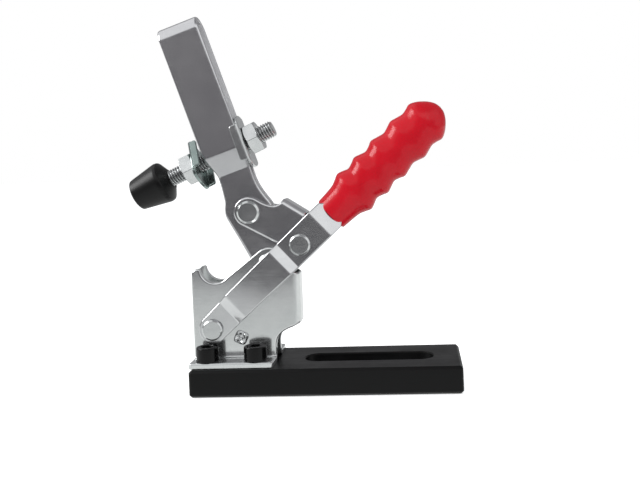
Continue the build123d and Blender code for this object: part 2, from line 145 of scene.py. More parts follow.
def rounded(corners, closed=True, step=14.0):
    """A line with its corners rounded and the normal to its right.

    corners holds (x, y) or (x, y, radius). Gives (x, y, nx, ny).
    """
    pts = [(c[0], c[1], c[2] if len(c) > 2 else 0.0) for c in corners]
    clean = []
    for p in pts:
        if not clean or hypot(p[0] - clean[-1][0], p[1] - clean[-1][1]) > 1e-5:
            clean.append(p)
    if closed and hypot(clean[0][0] - clean[-1][0], clean[0][1] - clean[-1][1]) < 1e-5:
        clean.pop()
    pts = clean
    m = len(pts)
    out = []
    for i, (x, y, r) in enumerate(pts):
        if not closed and i in (0, m - 1):
            a, b = (pts[0], pts[1]) if i == 0 else (pts[m - 2], pts[m - 1])
            d = hypot(b[0] - a[0], b[1] - a[1])
            out.append((x, y, (b[1] - a[1]) / d, -(b[0] - a[0]) / d))
            continue
        a, b = pts[i - 1], pts[(i + 1) % m]
        la, lb = hypot(x - a[0], y - a[1]), hypot(b[0] - x, b[1] - y)
        da = ((x - a[0]) / la, (y - a[1]) / la)
        db = ((b[0] - x) / lb, (b[1] - y) / lb)
        turn = atan2(da[0] * db[1] - da[1] * db[0], da[0] * db[0] + da[1] * db[1])
        if r <= 0 or abs(turn) < 1e-4:
            nx, ny = da[1] + db[1], -da[0] - db[0]
            d = hypot(nx, ny) or 1.0
            out.append((x, y, nx / d, ny / d))
            continue
        cut = min(r * tan(abs(turn) / 2), 0.49 * la, 0.49 * lb)
        r = cut / tan(abs(turn) / 2)
        s = 1.0 if turn > 0 else -1.0
        px, py = x - da[0] * cut, y - da[1] * cut
        n0 = (da[1], -da[0])
        cx, cy = px - s * n0[0] * r, py - s * n0[1] * r
        k = max(2, int(abs(degrees(turn)) / step) + 1)
        for j in range(k + 1):
            w = turn * j / k
            nx = n0[0] * cos(w) - n0[1] * sin(w)
            ny = n0[0] * sin(w) + n0[1] * cos(w)
            out.append((cx + s * nx * r, cy + s * ny * r, nx, ny))
    return out


def split(points, lines):
    """Adds a point wherever a closed outline crosses one of the lines."""
    out = []
    m = len(points)
    for i in range(m):
        a, b = points[i], points[(i + 1) % m]
        out.append(a)
        cuts = []
        for axis, k in lines:
            if (a[axis] - k) * (b[axis] - k) < -1e-9:
                w = (k - a[axis]) / (b[axis] - a[axis])
                if 1e-4 < w < 1 - 1e-4:
                    cuts.append((w, axis, k))
        for w, axis, k in sorted(cuts):
            q = [a[j] + (b[j] - a[j]) * w for j in range(4)]
            q[axis] = k
            d = hypot(q[2], q[3]) or 1.0
            out.append((q[0], q[1], q[2] / d, q[3] / d))
    return out


def inside(x, y, poly):
    hit = False
    m = len(poly)
    for i in range(m):
        x0, y0 = poly[i]
        x1, y1 = poly[(i + 1) % m]
        if (y0 > y) != (y1 > y) and x < (x1 - x0) * (y - y0) / (y1 - y0) + x0:
            hit = not hit
    return hit


def edge_round(t, r, n=4):
    """How a cut edge goes from one face to the other: inset, depth, turn."""
    out = []
    for k in range(n + 1):
        a = pi / 2 * k / n
        out.append((r * (1 - sin(a)), r * (1 - cos(a)), a))
    for k in range(n + 1):
        a = pi / 2 + pi / 2 * k / n
        out.append((r * (1 - sin(a)), t - r * (1 + cos(a)), a))
    return out


def edge_rolled(t, wide, deep, r, n=6):
    """A punched edge: rolled over gently on the outer face, crisp on the inner."""
    out = []
    for k in range(n + 1):
        a = pi / 2 * k / n
        out.append((wide * (1 - sin(a)), deep * (1 - cos(a)), atan2(deep * sin(a), wide * cos(a))))
    for k in range(4):
        a = pi / 2 + pi / 2 * k / 3
        out.append((r * (1 - sin(a)), t - r * (1 + cos(a)), a))
    return out


def edge_chamfer(t, c, r):
    """The same for a chamfered edge whose own two edges are eased by r."""
    line = rounded(
        [(-c - 4.0, 0), (-c, 0, r), (0, -c, r), (0, -t + c, r), (-c, -t, r), (-c - 4, -t)],
        closed=False,
        step=23.0,
    )
    out = []
    for x, y, nx, ny in line[1:-1]:
        # the line runs outward along the top, then down, with its normal inward
        out.append((-x, -y, atan2(-nx, -ny)))
    return out


def plate(shell, outline, holes, place, t, edge, lines=(), hole_edge=None, blind=()):
    """A plate cut to an outline and bent as place says.

    place(u, v) gives the outer face's point, its normal and its two tangents.
    """
    loops = [(split(outline, lines), edge, None)]
    for h in holes:
        loops.append((split(h, lines), hole_edge or edge, None))
    for h, depth in blind:
        loops.append((h, [(0.0, 0.0, 0.0), (0.0, 0.05, pi / 2), (0.0, depth, pi / 2)], depth))

    def lay(q, inset, depth, turn):
        u, v, mu, mv = q
        p, n, tu, tv = place(u - inset * mu, v - inset * mv)
        m = (tu * mu + tv * mv).normalized()
        return shell.point(p - n * depth, n * cos(turn) + m * sin(turn))

    tops, bottoms, flats, under = [], [], [], []
    for pts, profile, depth in loops:
        rings = [[lay(q, i, d, a) for q in pts] for i, d, a in profile]
        for a, b in zip(rings, rings[1:]):
            shell.strip(a, b)
        first = profile[0][0]
        flats.append([(q[0] - first * q[2], q[1] - first * q[3]) for q in pts])
        tops.append(rings[0])
        if depth is None:
            last = profile[-1][0]
            bottoms.append(rings[-1])
            under.append([(q[0] - last * q[2], q[1] - last * q[3]) for q in pts])
        else:
            cu = sum(q[0] for q in pts) / len(pts)
            cv = sum(q[1] for q in pts) / len(pts)
            p, n, tu, tv = place(cu, cv)
            base = [shell.point(shell.p[i], n) for i in rings[-1]]
            shell.fan(base, shell.point(p - n * depth, n))

    for rings, polys, sources in (
        (tops, flats, [l[0] for l in loops]),
        (bottoms, under, [l[0] for l in loops if l[2] is None]),
    ):
        coords, ids, raw, edges = [], [], [], []
        for ring, poly, src in zip(rings, polys, sources):
            start = len(coords)
            m = len(ring)
            for k in range(m):
                coords.append(Vector(poly[k]))
                ids.append(ring[k])
                raw.append(src[k])
                edges.append((start + k, start + (k + 1) % m))
        for axis, k in lines:
            on = [i for i, q in enumerate(raw) if abs(q[axis] - k) < 1e-6]
            on.sort(key=lambda i: coords[i][1 - axis])
            for a, b in zip(on[0::2], on[1::2]):
                edges.append((a, b))
        vs, _, fs, ov, _, _ = delaunay_2d_cdt(coords, edges, [], 0, 1e-7)
        rim = {frozenset(e) for e in edges[: len(coords)]}
        used, slivers = set(), []
        for f in fs:
            if not all(ov[i] for i in f):
                continue
            q = [vs[i] for i in f]
            own = [ov[i][0] for i in f]
            sides = [frozenset((own[k - 1], own[k])) for k in range(3)]
            longest = max((q[k] - q[k - 1]).length for k in range(3))
            area = abs((q[1] - q[0]).cross(q[2] - q[0]))
            if area < 2e-5 * longest**2:
                slivers.append((area, own, sides))
                continue
            cx = sum(p[0] for p in q) / 3
            cy = sum(p[1] for p in q) / 3
            if inside(cx, cy, polys[0]) and not any(
                inside(cx, cy, h) for h in polys[1:]
            ):
                shell.face(*[ids[i] for i in own])
                used.update(e for e in sides if e in rim)
        # a sliver along the rim is kept only where nothing else meets the rim
        for area, own, sides in slivers:
            along = [e for e in sides if e in rim]
            if along and not any(e in used for e in along):
                shell.face(*[ids[i] for i in own])
                used.update(along)


def circle(cx, cy, r, n=40):
    """A round hole; its normal points to its centre."""
    return [
        (cx + r * cos(2 * pi * k / n), cy + r * sin(2 * pi * k / n),
         -cos(2 * pi * k / n), -sin(2 * pi * k / n))
        for k in range(n)
    ]


def lathe(shell, profile, origin, axis, side, n=56, wide=1.0, deep=1.0,
          shape=None, phase=0.0):
    """Turns a profile of (t, r, nt, nr) round an axis."""
    axis, side = Vector(axis).normalized(), Vector(side).normalized()
    third = axis.cross(side)
    rings = []
    for t, r, nt, nr in profile:
        c = Vector(origin) + axis * t
        if r < 1e-6:
            rings.append([shell.point(c, axis * (nt if abs(nt) > 1e-6 else 1))])
            continue
        ring = []
        for k in range(n):
            a = 2 * pi * (k + phase) / n
            q = shape(t, r, a) if shape else r
            radial = side * (cos(a) / wide) + third * (sin(a) / deep)
            ring.append(
                shell.point(
                    c + side * (q * wide * cos(a)) + third * (q * deep * sin(a)),
                    axis * nt + radial.normalized() * nr,
                )
            )
        rings.append(ring)
    for a, b in zip(rings, rings[1:]):
        if len(a) == 1 and len(b) == 1:
            continue
        if len(a) == 1:
            shell.fan(b, a[0])
        elif len(b) == 1:
            shell.fan(a, b[0])
        else:
            shell.strip(a, b)
    return rings


# --------------------------------------------------------------- dimensions
bar_length, bar_depth, bar_height = 150.0, 50.0, 15.0
slot_x, slot_length, slot_width = 23.2, 73.0, 16.6
screw_xs, screw_y, screw_top = (-65.9, -38.9), 15.5, 18.25
lever_pivot, arm_pivot = (-63.5, 34.7), (-30.2, 70.1)
knee_pivot, crank_pivot = (-41.0, 100.0), (-12.0, 81.1)
knee_closed, stop_centre = (-61.8, 69.5), (-48.2, 29.3)
lever_angle, arm_angle = 42.2, 108.2
link_angle = degrees(
    atan2(crank_pivot[1] - knee_pivot[1], crank_pivot[0] - knee_pivot[0])
)
link_len = hypot(crank_pivot[0] - knee_pivot[0], crank_pivot[1] - knee_pivot[1])
spindle_angle = arm_angle - 90.0 + 5.3


def way(angle_deg):
    """Unit vectors along a piece and to its left, in the clamp's plane."""
    a = radians(angle_deg)
    return Vector((cos(a), 0, sin(a))), Vector((-sin(a), 0, cos(a)))


def local(origin, angle_deg, point):
    """A pivot's (s, v) place on a piece."""
    d, l = way(angle_deg)
    r = Vector((point[0] - origin[0], 0, point[1] - origin[1]))
    return r.dot(d), r.dot(l)


# ---------------------------------------------------------------- materials
def material(name):
    m = bpy.data.materials.new(name)
    m.use_nodes = True
    nt = m.node_tree
    nt.nodes.clear()
    out = nt.nodes.new("ShaderNodeOutputMaterial")
    bs = nt.nodes.new("ShaderNodeBsdfPrincipled")
    nt.links.new(bs.outputs[0], out.inputs[0])
    tc = nt.nodes.new("ShaderNodeTexCoord")
    return m, nt, bs, tc


def noise(nt, vec, scale, detail=4.0, rough=0.55, stretch=None, turn=None):
    n = nt.nodes.new("ShaderNodeTexNoise")
    n.inputs["Scale"].default_value = scale
    n.inputs["Detail"].default_value = detail
    n.inputs["Roughness"].default_value = rough
    if stretch or turn:
        mp = nt.nodes.new("ShaderNodeMapping")
        if stretch:
            mp.inputs["Scale"].default_value = stretch
        if turn:
            mp.inputs["Rotation"].default_value = turn
        nt.links.new(vec, mp.inputs["Vector"])
        vec = mp.outputs["Vector"]
    nt.links.new(vec, n.inputs["Vector"])
    return n.outputs["Fac"]


def ramp(nt, fac, stops):
    r = nt.nodes.new("ShaderNodeValToRGB")
    while len(r.color_ramp.elements) < len(stops):
        r.color_ramp.elements.new(0.5)
    for e, (pos, col) in zip(r.color_ramp.elements, stops):
        e.position = pos
        e.color = col if len(col) == 4 else (*col, 1)
    nt.links.new(fac, r.inputs["Fac"])
    return r.outputs["Color"]


def span(nt, fac, lo, hi, a=0.0, b=1.0):
    r = nt.nodes.new("ShaderNodeMapRange")
    r.inputs["From Min"].default_value = a
    r.inputs["From Max"].default_value = b
    r.inputs["To Min"].default_value = lo
    r.inputs["To Max"].default_value = hi
    nt.links.new(fac, r.inputs["Value"])
    return r.outputs["Result"]


def maths(nt, op, a, b):
    n = nt.nodes.new("ShaderNodeMath")
    n.operation = op
    for k, x in enumerate((a, b)):
        if isinstance(x, (int, float)):
            n.inputs[k].default_value = x
        else:
            nt.links.new(x, n.inputs[k])
    return n.outputs[0]


def mixed(nt, fac, a, b):
    n = nt.nodes.new("ShaderNodeMix")
    n.data_type = "RGBA"
    nt.links.new(fac, n.inputs[0])
    for k, x in ((6, a), (7, b)):
        if isinstance(x, tuple):
            n.inputs[k].default_value = (*x, 1) if len(x) == 3 else x
        else:
            nt.links.new(x, n.inputs[k])
    return n.outputs[2]


def bump(nt, bs, height, strength, distance, after=None):
    b = nt.nodes.new("ShaderNodeBump")
    b.inputs["Strength"].default_value = strength
    b.inputs["Distance"].default_value = distance
    nt.links.new(height, b.inputs["Height"])
    if after:
        nt.links.new(after, b.inputs["Normal"])
    nt.links.new(b.outputs["Normal"], bs.inputs["Normal"])
    return b.outputs["Normal"]


def zinc(name, grain=0.0, tint=(0.725, 0.735, 0.735), dark=(0.66, 0.675, 0.675), rough=0.14, metal=0.93):
    """Bright zinc plate on rolled sheet, with fine rolling lines and scuffs."""
    m, nt, bs, tc = material(name)
    pos = tc.outputs["Object"]
    cloud = noise(nt, pos, 55.0, 5.0, 0.6)
    fine = noise(nt, pos, 420.0, 3.0, 0.6)
    g = radians(-grain)
    lines = noise(nt, pos, 60.0, 6.0, 0.7, stretch=(0.6, 9.0, 22.0), turn=(0, g, 0))
    scuff = noise(nt, pos, 130.0, 7.0, 0.78, stretch=(1.0, 1.0, 3.2), turn=(0, g + 0.5, 0))
    base = mixed(nt, span(nt, cloud, 0.0, 1.0, 0.34, 0.66), dark, tint)
    wear = ramp(nt, scuff, [(0.0, (0.90,) * 3), (0.4, (0.975,) * 3), (0.62, (1.0,) * 3), (1.0, (1.0,) * 3)])
    mul = nt.nodes.new("ShaderNodeMix")
    mul.data_type = "RGBA"
    mul.blend_type = "MULTIPLY"
    mul.inputs[0].default_value = 0.7
    nt.links.new(base, mul.inputs[6])
    nt.links.new(wear, mul.inputs[7])
    nt.links.new(mul.outputs[2], bs.inputs["Base Color"])
    bs.inputs["Metallic"].default_value = metal
    r1 = span(nt, cloud, rough - 0.02, rough + 0.035, 0.3, 0.7)
    r2 = span(nt, lines, -0.03, 0.04, 0.3, 0.7)
    r3 = span(nt, scuff, 0.05, -0.01, 0.25, 0.6)
    nt.links.new(maths(nt, "ADD", maths(nt, "ADD", r1, r2), r3), bs.inputs["Roughness"])
    n1 = bump(nt, bs, lines, 0.010, 0.00001)
    n2 = bump(nt, bs, fine, 0.006, 0.00001, n1)
    bump(nt, bs, cloud, 0.06, 0.00012, n2)
    return m


def oxide(name, low=0.0012, high=0.0028, rough=0.40, speck=1.0, gloss=0.2):
    """Black oxide over machined steel: satin, a little mottled."""
    m, nt, bs, tc = material(name)
    pos = tc.outputs["Object"]
    cloud = noise(nt, pos, 40.0, 6.0, 0.65)
    fine = noise(nt, pos, 900.0, 3.0, 0.6)
    lines = noise(nt, pos, 50.0, 5.0, 0.7, stretch=(0.35, 14.0, 14.0))
    base = mixed(
        nt, span(nt, cloud, 0.0, 1.0, 0.3, 0.7),
        (low, low, low * 1.05), (high, high * 0.99, high * 1.04),
    )
    nt.links.new(base, bs.inputs["Base Color"])
    bs.inputs["Metallic"].default_value = 0.0
    bs.inputs["Specular IOR Level"].default_value = gloss
    r = maths(
        nt, "ADD", span(nt, cloud, rough - 0.06, rough + 0.07, 0.3, 0.7),
        span(nt, lines, -0.04, 0.05, 0.3, 0.7),
    )
    nt.links.new(r, bs.inputs["Roughness"])
    n1 = bump(nt, bs, lines, 0.06 * speck, 0.00005)
    bump(nt, bs, fine, 0.10 * speck, 0.00006, n1)
    return m


def vinyl(name):
    """Dipped red vinyl: glossy, with faint waves and dust specks."""
    m, nt, bs, tc = material(name)
    pos = tc.outputs["Object"]
    cloud = noise(nt, pos, 30.0, 4.0, 0.55)
    wave = noise(nt, pos, 90.0, 2.0, 0.4)
    fine = noise(nt, pos, 1500.0, 2.0, 0.5)
    base = mixed(
        nt, span(nt, cloud, 0.0, 1.0, 0.3, 0.7), (0.455, 0.0026, 0.0100), (0.53, 0.0034, 0.0135)
    )
    nt.links.new(base, bs.inputs["Base Color"])
    bs.inputs["Specular IOR Level"].default_value = 0.27
    bs.inputs["Coat Weight"].default_value = 0.06
    bs.inputs["Coat Roughness"].default_value = 0.14
    bs.inputs["Subsurface Weight"].default_value = 0.06
    bs.inputs["Subsurface Radius"].default_value = (0.004, 0.0006, 0.0006)
    nt.links.new(span(nt, cloud, 0.20, 0.28, 0.3, 0.7), bs.inputs["Roughness"])
    n1 = bump(nt, bs, wave, 0.18, 0.0004)
    bump(nt, bs, fine, 0.03, 0.00004, n1)
    return m


def rubber(name):
    """Moulded black rubber, matt with a soft bloom."""
    m, nt, bs, tc = material(name)
    pos = tc.outputs["Object"]
    cloud = noise(nt, pos, 45.0, 5.0, 0.6)
    fine = noise(nt, pos, 1200.0, 3.0, 0.6)
    base = mixed(
        nt, span(nt, cloud, 0.0, 1.0, 0.3, 0.7), (0.0030, 0.0029, 0.0031), (0.0058, 0.0056, 0.0058)
    )
    nt.links.new(base, bs.inputs["Base Color"])
    bs.inputs["Specular IOR Level"].default_value = 0.25
    nt.links.new(span(nt, cloud, 0.34, 0.46, 0.3, 0.7), bs.inputs["Roughness"])
    bump(nt, bs, fine, 0.12, 0.00005)
    return m


zinc_frame = zinc("zinc_frame", 0.0, rough=0.13)
zinc_lever = zinc("zinc_lever", lever_angle, tint=(0.70, 0.705, 0.71), dark=(0.63, 0.635, 0.645), rough=0.13)
zinc_arm = zinc("zinc_arm", arm_angle, tint=(0.68, 0.68, 0.69), dark=(0.62, 0.62, 0.635), rough=0.15)
zinc_link = zinc("zinc_link", link_angle, tint=(0.68, 0.68, 0.69), dark=(0.62, 0.62, 0.635), rough=0.15)
zinc_small = zinc("zinc_small", spindle_angle, tint=(0.70, 0.71, 0.71), dark=(0.58, 0.60, 0.60), rough=0.17)
# a darker, greener zinc for the lower washer: a painted dark reflection on its lip
zinc_washer_dark_reflection = zinc("zinc_washer_dark_reflection", spindle_angle, tint=(0.34, 0.40, 0.385), dark=(0.24, 0.30, 0.285), rough=0.15)
# a darker zinc for the thread's grooves, painted shade
zinc_groove_shade = zinc("zinc_groove_shade", spindle_angle, tint=(0.36, 0.365, 0.37), dark=(0.25, 0.255, 0.26), rough=0.3)
# a duller, darker zinc for the inside of the arm's fold, painted shade
zinc_dull_shade = zinc("zinc_dull_shade", arm_angle, tint=(0.60, 0.60, 0.61), dark=(0.50, 0.50, 0.51), rough=0.5, metal=0.15)
black_bar = oxide("black_bar")
black_screw = oxide("black_screw", 0.0012, 0.0022, 0.18, 0.6, 0.24)
red_vinyl = vinyl("red_vinyl")
black_rubber = rubber("black_rubber")

# ----------------------------------------------------------------- base bar
bar = Shell()
hx, hy = bar_length / 2, bar_depth / 2
outline = rounded(
    [(-hx, -hy, 2.0), (hx, -hy, 2.0), (hx, hy, 2.0), (-hx, hy, 2.0)], step=15.0
)
r = slot_width / 2
c = slot_length / 2 - r
slot_pts = arc(slot_x + c, 0, r, -90, 90, 24) + arc(slot_x - c, 0, r, 90, 270, 24)
slot_hole = []
for x, y in slot_pts:
    cx = slot_x + c if x > slot_x else slot_x - c
    d = hypot(x - cx, y)
    slot_hole.append((x, y, -(x - cx) / d, -y / d))


def bar_place(u, v):
    return Vector((u, v, bar_height)), Z, X, Y


plate(
    bar, outline, [slot_hole], bar_place, bar_height,
    edge_chamfer(bar_height, 1.4, 0.35),
    hole_edge=edge_chamfer(bar_height, 0.6, 0.2),
    blind=[
        (circle(x, s * screw_y, 4.02, 32), 12.5) for x in screw_xs for s in (-1, 1)
    ],
)
build(bar, "base_bar_machined", "base", "base_bar", black_bar)

# -------------------------------------------------------------------- frame
flange_left, flange_right = -75.6, -28.4
frame_t, wall = 3.25, 8.5
bend_z, bend_r = 19.25, 1.0
A = 3.0
flange_end = bend_z - A - 12.2


def table_of(path):
    """Length along a path of (x, y, nx, ny)."""
    out, u = [], 0.0
    for i, q in enumerate(path):
        if i:
            u += hypot(q[0] - path[i - 1][0], q[1] - path[i - 1][1])
        out.append((u, *q))
    return out


def look(table, u):
    """Point and normal at u, straight between the table's rows."""
    for i in range(len(table) - 1):
        if u <= table[i + 1][0] or i == len(table) - 2:
            a, b = table[i], table[i + 1]
            w = (u - a[0]) / (b[0] - a[0])
            q = [a[j] + (b[j] - a[j]) * w for j in range(1, 5)]
            if w < 0 or w > 1:
                k = a if w < 0 else b
                q[2], q[3] = k[3], k[4]
            d = hypot(q[2], q[3]) or 1.0
            return q[0], q[1], q[2] / d, q[3] / d


web_path = rounded(
    [(flange_left, -wall), (-14.0, -wall, 5.0), (-14.0, wall, 5.0), (flange_left, wall)],
    closed=False, step=9.0,
)
web = table_of(web_path)
web_total = web[-1][0]


def frame_place(u, v):
    x, y, nx, ny = look(web, u)
    n = Vector((nx, ny, 0))
    tu = Vector((-ny, nx, 0))
    if v >= bend_z:
        return Vector((x, y, v)), n, tu, Z
    s = -1.0 if u < web_total / 2 else 1.0
    w = bend_z - v
    c = wall + bend_r
    if w <= A:
        b = radians(90.0 * w / A)
        return (
            Vector((x, s * (c - bend_r * cos(b)), bend_z - bend_r * sin(b))),
            Vector((0, s * cos(b), sin(b))),
            tu,
            Vector((0, -s * sin(b), cos(b))),
        )
    return (
        Vector((x, s * (c + w - A), bend_z - bend_r)),
        Z, tu, Vector((0, -s, 0)),
    )


half = []  # the near half of the outline as (x, z), from the flange round to the web
low = [
    (flange_left, flange_end, 1.6),
    (flange_right, flange_end, 1.6),
    (flange_right, 21.5),
]
low += smooth(
    [(-28.4, 24.2), (-27.9, 27.0), (-26.6, 29.6), (-24.4, 31.8), (-21.6, 33.4), (-18.6, 34.6), (-15.0, 35.8)], 4
)
low += [(-13.0, 36.2)]
lug = arc(arm_pivot[0], arm_pivot[1], 9.7, 20, 128, 14)
high = [(-13.0, 64.8), (-15.4, 65.0), (-18.4, 65.9, 1.5), (-20.6, 67.2, 1.2)]
saddle = arc(knee_closed[0], knee_closed[1], 9.0, 318, 187, 18)
high += lug + saddle
high += smooth([(-71.6, 68.78), (-72.6, 68.65), (-74.3, 67.85), (-75.3, 66.3), (-75.6, 64.4)], 4)
high += [(flange_left, 60.0)]


def near_u(x):
    return x - flange_left


def far_u(x):
    return web_total - (x - flange_left)


web_in = near_u(-19.0)
pts = [(near_u(q[0]), *q[1:]) for q in low if q[0] < -19.0]
pts += [(web_in + 0.2 + (q[0] + 19.0), *q[1:]) for q in low if q[0] >= -19.0]
pts += [(web_total - (web_in + 0.2 + (q[0] + 19.0)), *q[1:]) for q in reversed(low) if q[0] >= -19.0]
pts += [(far_u(q[0]), *q[1:]) for q in reversed(low) if q[0] < -19.0]
pts += [(far_u(q[0]), *q[1:]) for q in reversed(high) if q[0] < -19.0]
pts += [(web_total - (web_in + 0.2 + (q[0] + 19.0)), *q[1:]) for q in reversed(high) if q[0] >= -19.0]
pts += [(web_in + 0.2 + (q[0] + 19.0), *q[1:]) for q in high if q[0] >= -19.0]
pts += [(near_u(q[0]), *q[1:]) for q in high if q[0] < -19.0]
frame_outline = rounded(pts)
frame_lines = [(0, row[0]) for row in web[1:-1]]
frame_lines += [(1, bend_z - A * k / 6) for k in range(7)]
holes = []
for side in (0, 1):
    for centre, rad in ((lever_pivot, 4.0), (arm_pivot, 4.0), (stop_centre, 2.5)):
        u = near_u(centre[0]) if side == 0 else far_u(centre[0])
        holes.append(circle(u, centre[1], rad + 0.02, 32))
    for x in screw_xs:
        u = near_u(x) if side == 0 else far_u(x)
        holes.append(circle(u, bend_z - A - (screw_y - wall - bend_r), 4.4, 32))
shell = Shell()
plate(
    shell, frame_outline, holes, frame_place, frame_t, edge_rolled(frame_t, 1.25, 0.9, 0.35),
    lines=frame_lines, hole_edge=edge_round(frame_t, 0.25, 2),
)
build(shell, "frame_pressing", "base", "frame", zinc_frame)

# --------------------------------------------------------------- cap screws
names = {
    (0, -1): "cap_screw_front_outer",
    (1, -1): "cap_screw_front_inner",
    (0, 1): "cap_screw_rear_outer",
    (1, 1): "cap_screw_rear_inner",
}
screw_n = 180
for (i, sy), node in names.items():
    shell = Shell()
    at = Vector((screw_xs[i], sy * screw_y, screw_top))
    turned = radians(11.0 + 23.0 * i + (9.0 if sy > 0 else 0.0))
    side = X * cos(turned) + Y * sin(turned)

    def knurl(t, r, a):
        if 0.9 < t < 7.05 and r > 6.2:
            return r - 0.13 * abs(sin(a * 22.5)) ** 1.5
        return r

    profile = rounded(
        [(7.7, 3.4), (8.0, 3.75, 0.15), (8.0, 6.35, 0.75), (0.0, 6.4, 0.3), (0.0, 4.0, 0.1)],
        closed=False, step=15.0,
    )
    # more rings on the side, so that the knurl starts and ends inside it
    body = []
    for k, q in enumerate(profile):
        if body and body[-1][0] > 7.0 and q[0] < 1.0:
            a = body[-1]
            for w in (0.02, 0.04, 0.5, 0.95, 0.97):
                body.append(tuple(a[j] + (q[j] - a[j]) * w for j in range(4)))
        body.append(q)
    rings = lathe(shell, body, at, Z, side, screw_n, shape=knurl)
    shank = rounded(
        [(0.0, 4.0), (-13.7, 4.0, 0.2), (-14.5, 3.2, 0.2), (-14.5, 0.0)],
        closed=False, step=20.0,
    )
    lathe(shell, shank, at, Z, side, screw_n)
    # six-sided socket, with the cone of its mouth
    def hexed(flat, a):
        k = (a + pi / 6) % (pi / 3) - pi / 6
        return flat / cos(k)

    mouth = []
    for k in range(screw_n):
        a = 2 * pi * k / screw_n
        q = hexed(3.0, a)
        d = side * cos(a) + Z.cross(side) * sin(a)
        mouth.append((d, q, a))
    third = Z.cross(side)
    cone = [
        shell.point(at + Z * (7.7 - max(0.0, 3.4 - q) * 0.6) + d * q, Z * 0.75 - d * 0.6)
        for d, q, a in mouth
    ]
    shell.strip(rings[0], cone)
    wall_n = []
    for d, q, a in mouth:
        k = round(a / (pi / 3))
        w = k * pi / 3
        wall_n.append(-(side * cos(w) + third * sin(w)))
    up = [shell.point(shell.p[j], n) for j, n in zip(cone, wall_n)]
    down = [shell.point(at + Z * 4.0 + d * q, n) for (d, q, a), n in zip(mouth, wall_n)]
    floor_ring = [shell.point(shell.p[j], Z) for j in down]
    shell.strip(up, down)
    shell.fan(floor_ring, shell.point(at + Z * 3.6, Z))
    build(shell, node + "_knurled", "base", node, black_screw)


# ------------------------------------------------------------------- strips
def strip_table(path):
    return table_of(path)


def strip_place(origin, angle_deg, table, lean=None):
    """Lays a flat pattern on its bent strip; lean draws its upper edge in."""
    d, l = way(angle_deg)
    o = Vector((origin[0], 0, origin[1]))

    def place(u, v):
        s, y, ns, ny = look(table, u)
        n = d * ns + Y * ny
        k = lean(s) if lean else 0.0
        return (
            o + d * s + Y * y + l * v - n * (k * v),
            (n + l * k).normalized(),
            d * (-ny) + Y * ns,
            (l - n * k).normalized(),
        )

    return place


def u_of(table, s, near=True):
    """Where a side of the strip is at s."""
    half = table[-1][0] / 2
    rows = [r for r in table if r[0] <= half + 1e-6] if near else [
        r for r in table if r[0] >= half - 1e-6
    ]
    for a, b in zip(rows, rows[1:]):
        lo, hi = sorted((a[1], b[1]))
        if lo - 1e-9 <= s <= hi + 1e-9 and hi - lo > 1e-9:
            return a[0] + (b[0] - a[0]) * (s - a[1]) / (b[1] - a[1])
    a, b = (rows[0], rows[1]) if near else (rows[-1], rows[-2])
    return a[0] + (b[0] - a[0]) * (s - a[1]) / (b[1] - a[1])


def hairpin_outline(table, low_edge, end_arc, high_edge):
    """Flat pattern of a strip folded about its middle.

    low_edge runs from the end to the fold along the lower side, high_edge from
    the fold back to the end along the upper one; end_arc rounds the end.
    """
    mid = table[-1][0] / 2
    pts = []
    pts += [(u_of(table, s), v, *r) for s, v, *r in low_edge]
    pts += [(u_of(table, s, False), v, *r) for s, v, *r in reversed(low_edge)]
    pts += [(u_of(table, s, False), v) for s, v in end_arc]
    pts += [(u_of(table, s, False), v, *r) for s, v, *r in reversed(high_edge)]
    pts += [(u_of(table, s), v, *r) for s, v, *r in high_edge]
    pts += [(u_of(table, s), v) for s, v in reversed(end_arc)]
    return rounded(pts)


def both_sides(table, centre, rad, n=36):
    return [
        circle(u_of(table, centre[0], near), centre[1], rad, n) for near in (True, False)
    ]


def bends(table):
    """The lines on the flat pattern where the strip turns."""
    return [(0, row[0]) for row in table[1:-1]]


# ---------------------------------------------------------------------- arm
arm_t, arm_out, arm_low = 2.7, 8.0, 5.0
tip_s = 147.0 - arm_out
arm_path = rounded(
    [
        (-14.0, -arm_low), (55.8, -arm_low, 5.0), (68.5, -arm_out, 6.0),
        (147.0, -arm_out, arm_out - 0.01), (147.0, arm_out, arm_out - 0.01),
        (68.5, arm_out, 6.0), (55.8, arm_low, 5.0), (-14.0, arm_low),
    ],
    closed=False, step=8.0,
)
arm_table = table_of(arm_path)
low_edge = smooth(
    [(2.0, -9.3), (9.0, -10.5), (21.0, -12.4), (29.0, -12.5), (33.5, -11.7), (38.0, -10.2),
     (43.0, -8.8), (48.0, -8.1), (56.0, -8.1), (66.0, -9.0)], 5
) + [(66.0, -9.0), (120.0, -9.0)]
high_edge = [(120.0, 15.0), (70.0, 15.0)] + smooth(
    [(70.0, 15.0), (64.5, 13.8), (57.5, 11.2), (51.5, 11.3), (45.5, 12.0), (41.0, 12.7),
     (37.5, 14.1), (34.0, 14.9), (29.5, 14.3), (22.0, 12.8), (8.0, 10.3), (2.0, 9.3)], 5
)[1:]
end_arc = arc(0.0, 0.0, 9.5, -82, -278, 22)
shell = Shell()
plate(
    shell,
    hairpin_outline(arm_table, low_edge, end_arc, high_edge),
    both_sides(arm_table, (0.0, 0.0), 4.05)
    + both_sides(arm_table, local(arm_pivot, arm_angle, knee_pivot), 3.52),
    strip_place(arm_pivot, arm_angle, arm_table),
    arm_t, edge_rolled(arm_t, 1.7, 0.85, 0.35),
    lines=bends(arm_table), hole_edge=edge_round(arm_t, 0.2, 2),
)
arm_obj = build(shell, "arm_pressing", "arm", "arm", zinc_arm)
# the inside of the fold gets a duller, darker zinc: painted shade between the two sides
arm_obj.data.materials.append(zinc_dull_shade)
for poly in arm_obj.data.polygons:
    if poly.center.y * poly.normal.y < 0 and abs(poly.normal.y) > 0.6:
        poly.material_index = 1

